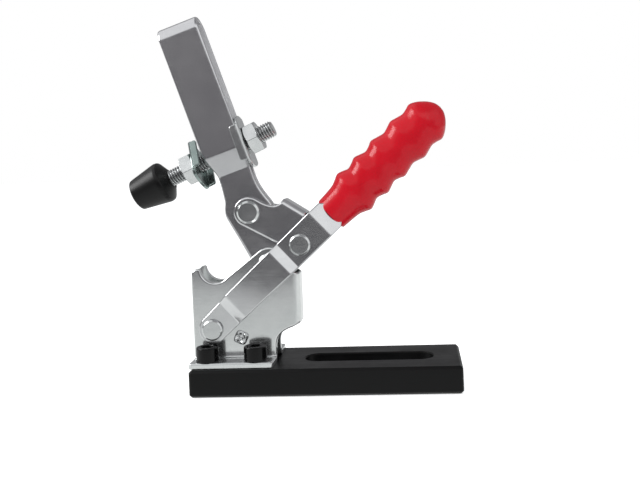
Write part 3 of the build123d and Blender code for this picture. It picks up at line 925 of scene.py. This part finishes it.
# -------------------------------------------------------------------- lever
lever_t, lever_out, bulge, tang = 3.0, 11.75, 14.45, 6.0
lever_path = rounded(
    [
        (-12.0, -lever_out), (13.6, -lever_out, 2.5), (19.2, -bulge, 4.5),
        (54.2, -bulge, 4.5), (60.2, -lever_out, 2.5), (85.4, -lever_out, 4.5),
        (93.6, -tang, 2.5), (156.0, -tang, tang - 0.01), (156.0, tang, tang - 0.01),
        (93.6, tang, 2.5), (85.4, lever_out, 4.5), (60.2, lever_out, 2.5),
        (54.2, bulge, 4.5), (19.2, bulge, 4.5), (13.6, lever_out, 2.5), (-12.0, lever_out),
    ],
    closed=False, step=7.0,
)
lever_table = table_of(lever_path)
low_edge = [
    (0.5, -8.0), (30.0, -8.1), (58.0, -8.9), (92.6, -9.1, 1.0), (94.4, -7.2, 1.0), (140.0, -7.2)
]
high_edge = [
    (140.0, 7.2), (94.4, 7.2, 1.0), (92.6, 9.3, 1.0), (58.0, 9.1), (22.0, 8.8), (8.0, 8.15), (0.5, 8.0)
]
end_arc = arc(0.0, 0.0, 8.0, -92, -268, 22)


def lever_lean(s):
    """The pressed-out middle of each side leans in a little towards the top."""
    return 0.036 * min(1.0, max(0.0, (s - 22.0) / 16.0)) * min(1.0, max(0.0, (72.0 - s) / 10.0))


shell = Shell()
plate(
    shell,
    hairpin_outline(lever_table, low_edge, end_arc, high_edge),
    both_sides(lever_table, (0.0, 0.0), 4.05)
    + both_sides(lever_table, local(lever_pivot, lever_angle, crank_pivot), 3.52),
    strip_place(lever_pivot, lever_angle, lever_table, lever_lean),
    lever_t, edge_rolled(lever_t, 0.7, 0.6, 0.35),
    lines=bends(lever_table), hole_edge=edge_round(lever_t, 0.2, 2),
)
build(shell, "lever_pressing", "lever", "lever", zinc_lever)

# --------------------------------------------------------------------- link
# Its two sides are joined along the top, so the fold runs along the link.
link_t, link_out, link_top, link_end, link_crank = 3.0, 8.4, 16.8, 8.5, 5.73
link_path = rounded(
    [(-14.0, -link_out), (link_top, -link_out, 3.6), (link_top, link_out, 3.6), (-14.0, link_out)],
    closed=False, step=9.0,
)
link_table = table_of(link_path)
ld, ll = way(link_angle)
lo = Vector((knee_pivot[0], 0, knee_pivot[1]))


def link_place(x, w):
    v, y, nv, ny = look(link_table, w)
    return lo + ld * x + ll * v + Y * y, ll * nv + Y * ny, ld, ll * (-ny) + Y * nv


def link_w(v, near=True):
    mid = link_table[-1][0] / 2
    w = v + 14.0
    return w if near else link_table[-1][0] - w


side_pts = arc(0, 0, link_end, 265, 92, 20)
left_flank = smooth(
    [(0.0, 8.5), (4.0, 8.7), (7.6, 9.4), (10.2, 10.6), (11.6, 11.6)], 4
) + [(12.4, 12.9), (12.85, 13.8)]
right_flank = [(28.5, 13.8), (29.3, 13.0)] + smooth(
    [(30.0, 12.4), (31.4, 9.8), (33.0, 7.9), (link_len + 2.0, link_crank * 0.9371)], 4
)
crank_end = arc(link_len, 0, link_crank, 69.7, -85, 16)
lower = [(link_len, -link_crank), (17.0, -7.15)]
near_side = [(x, link_w(v)) for x, v in right_flank + crank_end + lower + side_pts + left_flank]
far_side = [(x, link_w(v, False)) for x, v in reversed(right_flank + crank_end + lower + side_pts + left_flank)]
pts = near_side + far_side
shell = Shell()
link_lines = [(1, row[0]) for row in link_table[1:-1]]
plate(
    shell, rounded(list(reversed(pts))),
    [circle(0.0, link_w(0.0, n), 3.55, 36) for n in (True, False)]
    + [circle(link_len, link_w(0.0, n), 3.52, 36) for n in (True, False)],
    link_place, link_t, edge_rolled(link_t, 1.3, 0.85, 0.35),
    lines=link_lines, hole_edge=edge_round(link_t, 0.2, 2),
)
build(shell, "link_pressing", "link", "link", zinc_link)


# ------------------------------------------------------------------- rivets
def rivet(node, body, centre, shank, face, head, height, bevel, mark=None, dish=0.0):
    shell = Shell()
    o = Vector((centre[0], 0, centre[1]))
    half = [
        (face + height - dish, 0.0),
        (face + height, head - bevel - 0.1, 0.25),
        (face + height - bevel, head, 0.5),
        (face, head, 0.15),
        (face, shank, 0.1),
    ]
    line = half + [(-t, r, *k) for t, r, *k in reversed(half)]
    profile = rounded(line, closed=False, step=15.0)

    def dent(t, r, a):
        return r

    rings = lathe(shell, profile, o, Y, X, 72)
    if mark:
        mark(shell, o)
    return build(shell, node + "_formed", body, node, zinc_small)


rivet("lever_pivot_rivet", "base", lever_pivot, 4.0, 11.85, 5.9, 2.2, 0.8)
rivet("arm_pivot_rivet", "base", arm_pivot, 4.0, 8.5, 6.6, 2.4, 1.0)
rivet("knee_rivet", "arm", knee_pivot, 3.5, 8.5, 6.5, 2.3, 1.1)

# the stop rivet is spread by four punch marks, which leave raised lobes
shell = Shell()
o = Vector((stop_centre[0], 0, stop_centre[1]))
def stake(s, t, r, a):
    """A point on the staked head: four lobes pushed out and up, dents between."""
    lobe = 0.5 + 0.5 * cos(4 * (a - radians(20.0)))
    w = min(1.0, max(0.0, (r - 0.9) / 1.4))
    tt = t + (0.3 * lobe - 0.62 * (1 - lobe)) * w if t > 8.9 else t
    q = r * (1.12 + (0.16 * lobe - 0.10) * w)
    return o + Y * (s * tt) + (X * cos(a) + Z * sin(a)) * q


profile = [(9.54, 0.25), (9.5, 0.55), (9.3, 0.95), (9.12, 1.3), (9.3, 1.7), (9.66, 2.15),
           (9.84, 2.55), (9.8, 2.95), (9.5, 3.35), (9.1, 3.6), (8.6, 3.68), (8.4, 3.68)]
n = 72
ends = []
for s in (1, -1):
    rings = []
    for j, (t, r) in enumerate(profile):
        up, dn = profile[min(j + 1, len(profile) - 1)], profile[max(j - 1, 0)]
        ring = []
        for k in range(n):
            a = 2 * pi * k / n
            du = stake(s, *up, a) - stake(s, *dn, a)
            dv = stake(s, t, r, a + 0.05) - stake(s, t, r, a - 0.05)
            m = du.cross(dv).normalized()
            out = Y * (s * 0.6) + (X * cos(a) + Z * sin(a)) * 0.5
            ring.append(shell.point(stake(s, t, r, a), m if m.dot(out) > 0 else -m))
        rings.append(ring)
    shell.fan(rings[0], shell.point(o + Y * (s * 9.55), Y * s))
    for p, q in zip(rings, rings[1:]):
        shell.strip(p, q)
    ends.append([shell.point(o + Y * (s * 8.4) + (X * cos(2 * pi * k / n) + Z * sin(2 * pi * k / n)) * 2.5,
                             Y * -s) for k in range(n)])
    shell.strip([shell.point(shell.p[i], Y * -s) for i in rings[-1]], ends[-1])
rods = [
    [shell.point(shell.p[i], shell.p[i] - o - Y * (shell.p[i] - o).dot(Y)) for i in e] for e in ends
]
shell.strip(*rods)
build(shell, "stop_rivet_staked", "base", "stop_rivet", zinc_small)

# the crank rivet: a pin in the link, and a head with a stub in each lever side
shell = Shell()
o = Vector((crank_pivot[0], 0, crank_pivot[1]))
profile = rounded([(8.55, 0.0), (8.55, 3.5, 0.3), (-8.55, 3.5, 0.3), (-8.55, 0.0)], closed=False, step=20.0)
lathe(shell, profile, o, Y, X, 56)
build(shell, "crank_pin_turned", "link", "crank_pin", zinc_small)
shell = Shell()
for s in (1, -1):
    profile = rounded(
        [(13.95, 0.0), (13.95, 5.0, 0.25), (13.05, 6.0, 0.4), (11.75, 6.0, 0.1),
         (11.75, 3.5, 0.1), (8.80, 3.5, 0.3), (8.80, 0.0)],
        closed=False, step=15.0,
    )
    lathe(shell, profile, o, Y * s, X, 72)
build(shell, "crank_rivet_heads_formed", "lever", "crank_rivet_heads", zinc_small)

# --------------------------------------------------------------------- grip
grip_rows = (
    (92.0, 10.2), (95.5, 10.4), (100.0, 10.7), (104.4, 11.3), (107.4, 12.5), (110.9, 13.9),
    (114.2, 12.9), (117.4, 11.7), (120.8, 12.6), (124.1, 13.8), (127.6, 12.8), (131.1, 11.7),
    (134.2, 12.5), (137.4, 13.8), (141.4, 12.9), (145.7, 11.9), (149.2, 12.8), (152.8, 13.9),
    (156.8, 13.0), (160.6, 12.1), (163.6, 12.6), (166.8, 13.4), (170.2, 12.0), (173.4, 9.5),
    (176.2, 6.4), (178.0, 3.1), (178.5, 0.0),
)
calm_rows = (
    (92.0, 10.2), (95.5, 10.4), (100.0, 10.9), (104.4, 11.5), (108.0, 12.2), (114.0, 12.7),
    (124.0, 12.7), (140.0, 12.8), (152.0, 12.9), (160.0, 12.9), (164.0, 12.8), (166.8, 12.7),
    (170.2, 11.6), (173.4, 9.4), (176.2, 6.4), (178.0, 3.1), (178.5, 0.0),
)


def reach(rows, s):
    return min(max(s, rows[0][0]), rows[-1][0])


ridge_line = smooth(grip_rows, 10) + [grip_rows[-1]]
calm_line = smooth(calm_rows, 16) + [calm_rows[-1]]


def at_row(line, s):
    for a, b in zip(line, line[1:]):
        if a[0] <= s <= b[0] and b[0] - a[0] > 1e-9:
            return a[1] + (b[1] - a[1]) * (s - a[0]) / (b[0] - a[0])
    return line[-1][1]


gd, gl = way(lever_angle)
go = Vector((lever_pivot[0], 0, lever_pivot[1]))
flat = 0.79
grip_n = 96
stations = [92.0 + 0.55 * k for k in range(int((170.0 - 92.0) / 0.55))]
stations += [170.0, 170.8, 171.6, 172.4, 173.2, 174.0, 174.7, 175.4, 176.1, 176.7, 177.2,
             177.6, 177.95, 178.2, 178.38]


def grip_point(s, a):
    ridge, calm = at_row(ridge_line, s), at_row(calm_line, s)
    w = abs(cos(a)) ** 1.3
    w = 0.22 + 0.78 * w
    q = calm + (ridge - calm) * w
    return go + gd * s + gl * (q * cos(a)) - Y * (q * flat * sin(a))


def grip_normal(s, a):
    e = 0.25
    s0, s1 = max(92.0, s - e), min(178.49, s + e)
    du = grip_point(s1, a) - grip_point(s0, a)
    dv = grip_point(s, a + 0.02) - grip_point(s, a - 0.02)
    n = du.cross(dv)
    if n.length < 1e-9:
        return gd
    n.normalize()
    out = gl * cos(a) - Y * sin(a)
    return n if n.dot(out) >= -1e-6 or n.dot(gd) > 0.5 else -n


shell = Shell()
rings = []
# the mouth: a rounded lip, and a face inside it that the lever runs into
for back, shrink, turn in ((0.9, 1.35, pi), (0.25, 1.1, 0.75 * pi + 0.3), (0.0, 0.6, pi / 2 + 0.9), (0.12, 0.22, 0.9), (0.45, 0.03, 0.3)):
    ring = []
    for k in range(grip_n):
        a = 2 * pi * k / grip_n
        out = (gl * cos(a) * flat - Y * sin(a)).normalized()
        p = grip_point(92.0, a) + gd * back - out * shrink
        ring.append(shell.point(p, out * cos(turn) - gd * sin(turn)))
    rings.append(ring)
inner = [shell.point(shell.p[j], -gd) for j in rings[0]]
shell.fan(inner, shell.point(go + gd * 92.9, -gd))
for s in stations:
    if s < 92.6:
        continue
    rings.append(
        [shell.point(grip_point(s, 2 * pi * k / grip_n), grip_normal(s, 2 * pi * k / grip_n)) for k in range(grip_n)]
    )
for a, b in zip(rings, rings[1:]):
    shell.strip(a, b)
shell.fan(rings[-1], shell.point(go + gd * 178.5, gd))
build(shell, "grip_moulded", "lever", "grip", red_vinyl)

# ------------------------------------------------------------------ spindle
ad, al = way(arm_angle)
ao = Vector((arm_pivot[0], 0, arm_pivot[1]))
sp = ao + ad * 68.9 + al * 3.0
se, sl = way(spindle_angle)
tilt = radians(5.3)

# rod with a rolled M10 thread, its crests and roots rounded
pitch, crest, root = 1.5, 4.85, 4.02
rod_back, rod_front = -47.0, 31.0
around, per = 64, 10


def thread(w):
    """Radius at a share of one turn, from crest to root and back."""
    w = w % 1.0
    f = abs(w - 0.5) * 2
    if f > 0.86:
        return crest
    if f < 0.16:
        return root
    k = (f - 0.16) / 0.70
    k = k * k * (3 - 2 * k) * 0.35 + k * 0.65
    return root + (crest - root) * k


shell = Shell()
turns = int((rod_front - rod_back) / pitch) + 2
rows = []
for j in range(turns * per + 1):
    row = []
    for k in range(around):
        a = 2 * pi * k / around
        t = rod_back - pitch + pitch * (j / per + k / around)
        tt = min(max(t, rod_back), rod_front)
        end = min(tt - rod_back, rod_front - tt)
        q = min(thread((t - rod_back) / pitch - k / around), crest - max(0.0, 1.0 - end))
        row.append((tt, q, a))
    rows.append(row)


def rod_point(t, q, a):
    return sp + se * t + (sl * cos(a) - Y * sin(a)) * q


def row_normal(j, k):
    t, q, a = rows[j][k]
    up = rows[min(j + 1, len(rows) - 1)][k]
    dn = rows[max(j - 1, 0)][k]
    dt, dq = up[0] - dn[0], up[1] - dn[1]
    out = sl * cos(a) - Y * sin(a)
    if abs(dt) < 1e-6:
        return out
    return (out * dt - se * dq).normalized()


ids = [
    [shell.point(rod_point(*rows[j][k]), row_normal(j, k)) for k in range(around)]
    for j in range(len(rows))
]
for j in range(len(rows) - 1):
    for k in range(around):
        k2 = (k + 1) % around
        if k2:
            shell.face(ids[j][k], ids[j][k2], ids[j + 1][k2], ids[j + 1][k])
        elif j + per + 1 < len(rows):
            # the seam joins a row to the one a whole pitch further on
            shell.face(ids[j + per][k], ids[j][k], ids[j + 1][k], ids[j + per + 1][k]) if False else None
            shell.face(ids[j][k], ids[j + per][0], ids[j + per + 1][0], ids[j + 1][k])
for t, d in ((rod_back, -1), (rod_front, 1)):
    ring = [
        shell.point(rod_point(t, crest - 1.0, 2 * pi * k / around), se * d)
        for k in range(around)
    ]
    shell.fan(ring, shell.point(sp + se * t, se * d))
rod_obj = build(shell, "spindle_rod_threaded", "spindle", "spindle_rod", zinc_small)
# the thread's grooves get a darker zinc: painted shade in the roots
rod_obj.data.materials.append(zinc_groove_shade)
for poly in rod_obj.data.polygons:
    c = poly.center / MM - sp
    r = (c - se * c.dot(se)).length
    if r < 4.42 and abs(poly.normal.dot(se)) < 0.95:
        poly.material_index = 1

# rubber cap, a blunt cone with a lipped mouth round the rod
shell = Shell()
profile = rounded(
    [
        (-47.2, 0.0), (-47.2, 4.87), (-35.2, 4.87, 0.1), (-35.2, 5.6, 0.3), (-36.1, 6.9, 1.5),
        (-38.9, 11.7, 1.6), (-41.0, 12.0, 3.0), (-57.5, 9.05, 1.2), (-58.45, 7.2, 2.0),
        (-58.6, 0.0),
    ],
    closed=False, step=8.0,
)
lathe(shell, profile, sp, se, sl, 80)
build(shell, "spindle_cap_moulded", "spindle", "spindle_cap", black_rubber)

# nuts
nut_flat, nut_h, bore = 8.2, 7.4, 4.9
upper_face = (9.0 + 0.04 + 2.1 + 3.0) / cos(tilt)
upper_nut = upper_face + (nut_flat + 0.1) * tan(tilt) + 0.03
lower_edge = (-15.0 + 3.0 - 0.06) / cos(tilt) - 9.0 * tan(tilt)
lower_face = lower_edge - 5.6
lower_nut = lower_face - 0.03 - nut_h


def nut(node, start, washer_end):
    shell = Shell()
    third = se.cross(sl)
    # hexagon with eased corners, as points with their normals
    cornr = nut_flat / cos(pi / 6)
    corners = []
    for k in range(6):
        a = radians(8.0 + 30.0 + 60.0 * k)
        corners.append((cornr * cos(a), cornr * sin(a), 0.55))
    ring = rounded(corners, step=20.0)
    dense = []
    m = len(ring)
    for i in range(m):
        a, b = ring[i], ring[(i + 1) % m]
        d = hypot(b[0] - a[0], b[1] - a[1])
        steps = max(1, int(d / 0.6))
        for k in range(steps):
            w = k / steps
            q = [a[j] + (b[j] - a[j]) * w for j in range(4)]
            e = hypot(q[2], q[3])
            dense.append((q[0], q[1], q[2] / e, q[3] / e))
    slope = tan(radians(28.0))
    r0 = nut_flat - 0.25

    def pt(t, x, y, n):
        return shell.point(sp + se * (start + t) + sl * x + third * y, n)

    def loop(f):
        out = []
        for x, y, nx, ny in dense:
            out.append(f(x, y, nx, ny, hypot(x, y)))
        return out

    for s in (1, -1):
        base = nut_h if s > 0 else 0.0
        inner_r, mouth = bore, 5.35

        def rad(r, drop, lean):
            return loop(
                lambda x, y, nx, ny, q: pt(
                    base - s * drop, x / q * r, y / q * r,
                    se * (s * cos(lean)) + (sl * (x / q) + third * (y / q)) * sin(lean),
                )
            )

        a0 = rad(inner_r, 0.75, -pi / 2)
        a1 = rad(inner_r, 0.5, -pi / 3)
        a2 = rad(mouth, 0.06, -0.5)
        a3 = rad(mouth + 0.2, 0.0, 0.0)
        a4 = rad(r0 - 0.15, 0.0, 0.0)
        a5 = rad(r0 + 0.1, 0.05, radians(22.0))
        lean = radians(28.0)

        def cone_at(share, extra):
            return loop(
                lambda x, y, nx, ny, q: pt(
                    base - s * (0.05 + max(0.0, q - 0.06 - r0 - 0.1) * slope),
                    x * (q - 0.06) / q, y * (q - 0.06) / q,
                    se * (s * cos(lean)) + (sl * (x / q) + third * (y / q)) * sin(lean),
                )
            )

        a6 = cone_at(1.0, 0.0)
        a7 = loop(
            lambda x, y, nx, ny, q: pt(
                base - s * (0.17 + max(0.0, q - 0.06 - r0 - 0.1) * slope), x, y,
                sl * nx + third * ny,
            )
        )
        for p, q in zip((a0, a1, a2, a3, a4, a5, a6), (a1, a2, a3, a4, a5, a6, a7)):
            shell.strip(p, q)
        if s > 0:
            top, top_in = a7, a0
        else:
            shell.strip(top, a7)
            shell.strip(top_in, a0)
    return build(shell, node + "_faceted", "carriage", node, zinc_small)


nut("spindle_nut_upper", upper_nut, False)
nut("spindle_nut_lower", lower_nut, True)


# washers with a lip on each side that grips the arm
def lipped(node, angle_deg, face, side, turn_deg, washer_material):
    t, radius, half, lip_l, lip_h, rb = 1.85, 15.5, 9.9, 20.5, 5.6, 2.9
    normal, _ = way(angle_deg)
    a, r = radians(angle_deg), radians(turn_deg)
    ex = Vector((-cos(r) * sin(a), -sin(r), cos(r) * cos(a)))
    n3 = normal * side
    ey = normal.cross(ex)
    o3 = sp + se * face
    path = rounded(
        [(-half, -lip_h), (-half, 0.0, rb), (half, 0.0, rb), (half, -lip_h)][::-1],
        closed=False, step=10.0,
    )
    # the path runs over the washer from one lip to the other; normal outwards
    tab = table_of(path)
    if tab[1][4] < -0.5 or any(q[4] < -0.5 for q in tab):
        tab = [(q[0], q[1], q[2], -q[3], -q[4]) for q in tab]

    def place(x, w):
        y, h, ny, nh = look(tab, w)
        tw = ey * (-nh) + n3 * ny
        yy, _, _, _ = look(tab, w + 0.01)
        y2, h2, _, _ = look(tab, w + 0.02)
        y1, h1, _, _ = look(tab, w)
        d = ey * (y2 - y1) + n3 * (h2 - h1)
        if d.dot(tw) < 0:
            tw = -tw
        return o3 + ex * x + ey * y + n3 * h, ey * ny + n3 * nh, ex, tw

    total = tab[-1][0]
    mid = total / 2
    edge = half - rb + 0.3
    a0 = degrees(atan2(edge, sqrt(radius**2 - edge**2)))
    right = arc(0, mid, radius, -a0, a0, 14)
    lip = [
        (lip_l / 2 + 0.5, mid + edge + 2.0, 1.0),
        (lip_l / 2, total - 2.6),
        (lip_l / 2, total, 1.3),
        (-lip_l / 2, total, 1.3),
        (-lip_l / 2, total - 2.6),
        (-lip_l / 2 - 0.5, mid + edge + 2.0, 1.0),
    ]
    left = arc(0, mid, radius, 180 - a0, 180 + a0, 14)
    lip2 = [
        (-lip_l / 2 - 0.5, mid - edge - 2.0, 1.0),
        (-lip_l / 2, 2.6),
        (-lip_l / 2, 0.0, 1.3),
        (lip_l / 2, 0.0, 1.3),
        (lip_l / 2, 2.6),
        (lip_l / 2 + 0.5, mid - edge - 2.0, 1.0),
    ]
    shell = Shell()
    plate(
        shell, rounded(right + lip + left + lip2),
        [circle(0.0, mid, 5.3, 40)], place, t, edge_round(t, 0.45, 3),
        lines=[(1, q[0]) for q in tab[1:-1]], hole_edge=edge_round(t, 0.2, 2),
    )
    build(shell, node + "_pressed", "carriage", node, washer_material)


lipped("spindle_washer_upper", arm_angle - 90.0, upper_face, 1.0, 0.0, zinc_small)
# the lower washer carries the darker zinc, a painted dark reflection
lipped("spindle_washer_lower", spindle_angle, lower_face, -1.0, -43.0, zinc_washer_dark_reflection)

# -------------------------------------------------------- floor and backdrop
floor = bpy.data.meshes.new("floor")
size = 9.0
floor.from_pydata(
    [(-size, -size, -0.0003), (size, -size, -0.0003), (size, size, -0.0003), (-size, size, -0.0003)],
    [], [(0, 1, 2, 3)],
)
floor_obj = bpy.data.objects.new("floor", floor)
bpy.context.scene.collection.objects.link(floor_obj)
m, nt, bs, tc = material("floor_paper")
pos = tc.outputs["Object"]
grain = noise(nt, pos, 300.0, 3.0, 0.5)
nt.links.new(
    ramp(nt, grain, [(0.0, (0.86, 0.86, 0.86)), (1.0, (0.90, 0.90, 0.90))]),
    bs.inputs["Base Color"],
)
bs.inputs["Roughness"].default_value = 0.9
bs.inputs["Specular IOR Level"].default_value = 0.1
# the lit part of the paper ends some way in front of the object; mirror images of the floor show a painted glow in
# place of its lighting, dark beyond that and bright near the object
sep = nt.nodes.new("ShaderNodeSeparateXYZ")
nt.links.new(pos, sep.inputs[0])
edge_y = span(nt, sep.outputs["Y"], 0.0, 1.0, -0.50, -0.06)
edge_x = span(nt, maths(nt, "ABSOLUTE", sep.outputs["X"], 0.0), 1.0, 0.55, 0.3, 1.2)
# painted glow seen only in reflections: dark in front, bright near the object
lp = nt.nodes.new("ShaderNodeLightPath")
painted_floor_glow = nt.nodes.new("ShaderNodeEmission")
nt.links.new(
    ramp(nt, edge_y, [
        (0.0, (0.085, 0.083, 0.088)), (0.16, (0.30, 0.30, 0.31)), (0.36, (0.63, 0.645, 0.645)),
        (0.80, (0.68, 0.70, 0.695)), (1.0, (0.93, 0.95, 0.945)),
    ]),
    painted_floor_glow.inputs["Color"],
)
pale = nt.nodes.new("ShaderNodeEmission")
pale.inputs["Color"].default_value = (1.0, 1.0, 1.0, 1)
pale.inputs["Strength"].default_value = 0.55
both = nt.nodes.new("ShaderNodeAddShader")
nt.links.new(bs.outputs[0], both.inputs[0])
nt.links.new(pale.outputs[0], both.inputs[1])
seen = nt.nodes.new("ShaderNodeMixShader")
nt.links.new(lp.outputs["Is Camera Ray"], seen.inputs[0])
nt.links.new(bs.outputs[0], seen.inputs[1])
nt.links.new(both.outputs[0], seen.inputs[2])
mixer = nt.nodes.new("ShaderNodeMixShader")
nt.links.new(lp.outputs["Is Glossy Ray"], mixer.inputs[0])
nt.links.new(seen.outputs[0], mixer.inputs[1])
nt.links.new(painted_floor_glow.outputs[0], mixer.inputs[2])
for n in nt.nodes:
    if n.type == "OUTPUT_MATERIAL":
        nt.links.new(mixer.outputs[0], n.inputs[0])
floor.materials.append(m)

# surroundings: white behind, above and to the sides, a dark room in front
world = bpy.data.worlds.new("studio")
bpy.context.scene.world = world
world.use_nodes = True
nt = world.node_tree
nt.nodes.clear()
out = nt.nodes.new("ShaderNodeOutputWorld")
tc = nt.nodes.new("ShaderNodeTexCoord")
sep = nt.nodes.new("ShaderNodeSeparateXYZ")
nt.links.new(tc.outputs["Generated"], sep.inputs[0])
# how far a direction is in front: 1 in front, 0 from a little past the sides
front = span(nt, sep.outputs["Y"], 1.0, 0.0, -0.20, 0.18)
high = span(nt, sep.outputs["Z"], 0.0, 1.0, -0.2, 1.0)
# in front: a dark room, soft light from a third of the way up, dark overhead
room = ramp(nt, high, [
    (0.0, (0.150, 0.144, 0.153)), (0.385, (0.150, 0.144, 0.153)), (0.455, (0.62, 0.63, 0.64)),
    (0.50, (1.04, 1.05, 1.06)), (0.74, (1.0, 1.01, 1.02)), (0.86, (0.34, 0.34, 0.35)),
    (1.0, (0.24, 0.24, 0.25)),
])
# a pale wall far to the right, and a tall soft light on the left
wall_r = span(nt, sep.outputs["X"], 0.0, 1.0, 0.70, 0.86)
room = mixed(nt, wall_r, room, (0.90, 0.91, 0.92))
# behind: a grey paper sweep
sweep = ramp(nt, high, [
    (0.0, (0.50, 0.51, 0.51)), (0.18, (0.44, 0.445, 0.45)), (0.45, (0.34, 0.34, 0.35)),
    (1.0, (0.26, 0.26, 0.27)),
])
lit = mixed(nt, front, sweep, room)
tall = maths(
    nt, "MULTIPLY",
    maths(nt, "MULTIPLY", span(nt, sep.outputs["X"], 1.0, 0.0, -0.26, -0.10),
          span(nt, sep.outputs["Y"], 1.0, 0.0, 0.44, 0.62)),
    span(nt, sep.outputs["Z"], 0.0, 1.0, 0.42, 0.52),
)
lit = mixed(nt, tall, lit, (0.92, 0.93, 0.94))
bg_gloss = nt.nodes.new("ShaderNodeBackground")
nt.links.new(lit, bg_gloss.inputs["Color"])
bg_gloss.inputs["Strength"].default_value = 1.0
bg_plain = nt.nodes.new("ShaderNodeBackground")
bg_plain.inputs["Color"].default_value = (1.0, 1.0, 1.0, 1)
bg_plain.inputs["Strength"].default_value = 1.0
bg_soft = nt.nodes.new("ShaderNodeBackground")
bg_soft.inputs["Color"].default_value = (0.95, 0.96, 0.98, 1)
bg_soft.inputs["Strength"].default_value = 0.80
lp = nt.nodes.new("ShaderNodeLightPath")
m1 = nt.nodes.new("ShaderNodeMixShader")
m2 = nt.nodes.new("ShaderNodeMixShader")
nt.links.new(lp.outputs["Is Glossy Ray"], m1.inputs[0])
nt.links.new(bg_soft.outputs[0], m1.inputs[1])
nt.links.new(bg_gloss.outputs[0], m1.inputs[2])
nt.links.new(lp.outputs["Is Camera Ray"], m2.inputs[0])
nt.links.new(m1.outputs[0], m2.inputs[1])
nt.links.new(bg_plain.outputs[0], m2.inputs[2])
nt.links.new(m2.outputs[0], out.inputs[0])


# ------------------------------------------------------------------- lights
def softbox(name, place, target, size, power, color=(1, 1, 1)):
    data = bpy.data.lights.new(name, "AREA")
    data.shape = "RECTANGLE"
    data.size, data.size_y = size
    data.energy = power
    data.color = color
    obj = bpy.data.objects.new(name, data)
    obj.location = place
    obj.rotation_mode = "QUATERNION"
    obj.rotation_quaternion = (Vector(target) - Vector(place)).to_track_quat("-Z", "Y")
    bpy.context.scene.collection.objects.link(obj)
    return obj


aim = (-0.02, 0.0, 0.08)
softbox("key_softbox", (-0.90, -0.24, 0.60), aim, (0.50, 0.50), 6.5)
fill = softbox("fill_softbox", (0.35, -0.90, 0.75), aim, (0.6, 0.6), 3.0)
fill.visible_glossy = False

# ------------------------------------------------------------------- camera
cam_data = bpy.data.cameras.new("camera")
cam = bpy.data.objects.new("camera", cam_data)
bpy.context.scene.collection.objects.link(cam)
yaw, pitch_down, roll = radians(4.5728), radians(1.6622), radians(2.3361)
focal_px, centre_x, centre_y = 754.7297, 356.0, 183.0
fw = Vector((-sin(yaw) * cos(pitch_down), cos(yaw) * cos(pitch_down), -sin(pitch_down)))
rt = Vector((cos(yaw), sin(yaw), 0))
upv = rt.cross(fw)
right = rt * cos(roll) - upv * sin(roll)
upward = rt * sin(roll) + upv * cos(roll)
cam.matrix_world = Matrix(
    (
        (right[0], upward[0], -fw[0], 0.0537815),
        (right[1], upward[1], -fw[1], -0.4259333),
        (right[2], upward[2], -fw[2], 0.126256),
        (0, 0, 0, 1),
    )
)
cam_data.sensor_width = 36.0
cam_data.lens = focal_px * 36.0 / 640.0
cam_data.shift_x = (320.0 - centre_x) / 640.0
cam_data.shift_y = (centre_y - 240.0) / 640.0
cam_data.clip_start, cam_data.clip_end = 0.01, 50.0
bpy.context.scene.camera = cam
bpy.context.scene.view_settings.view_transform = "Standard"
bpy.context.scene.view_settings.look = "None"
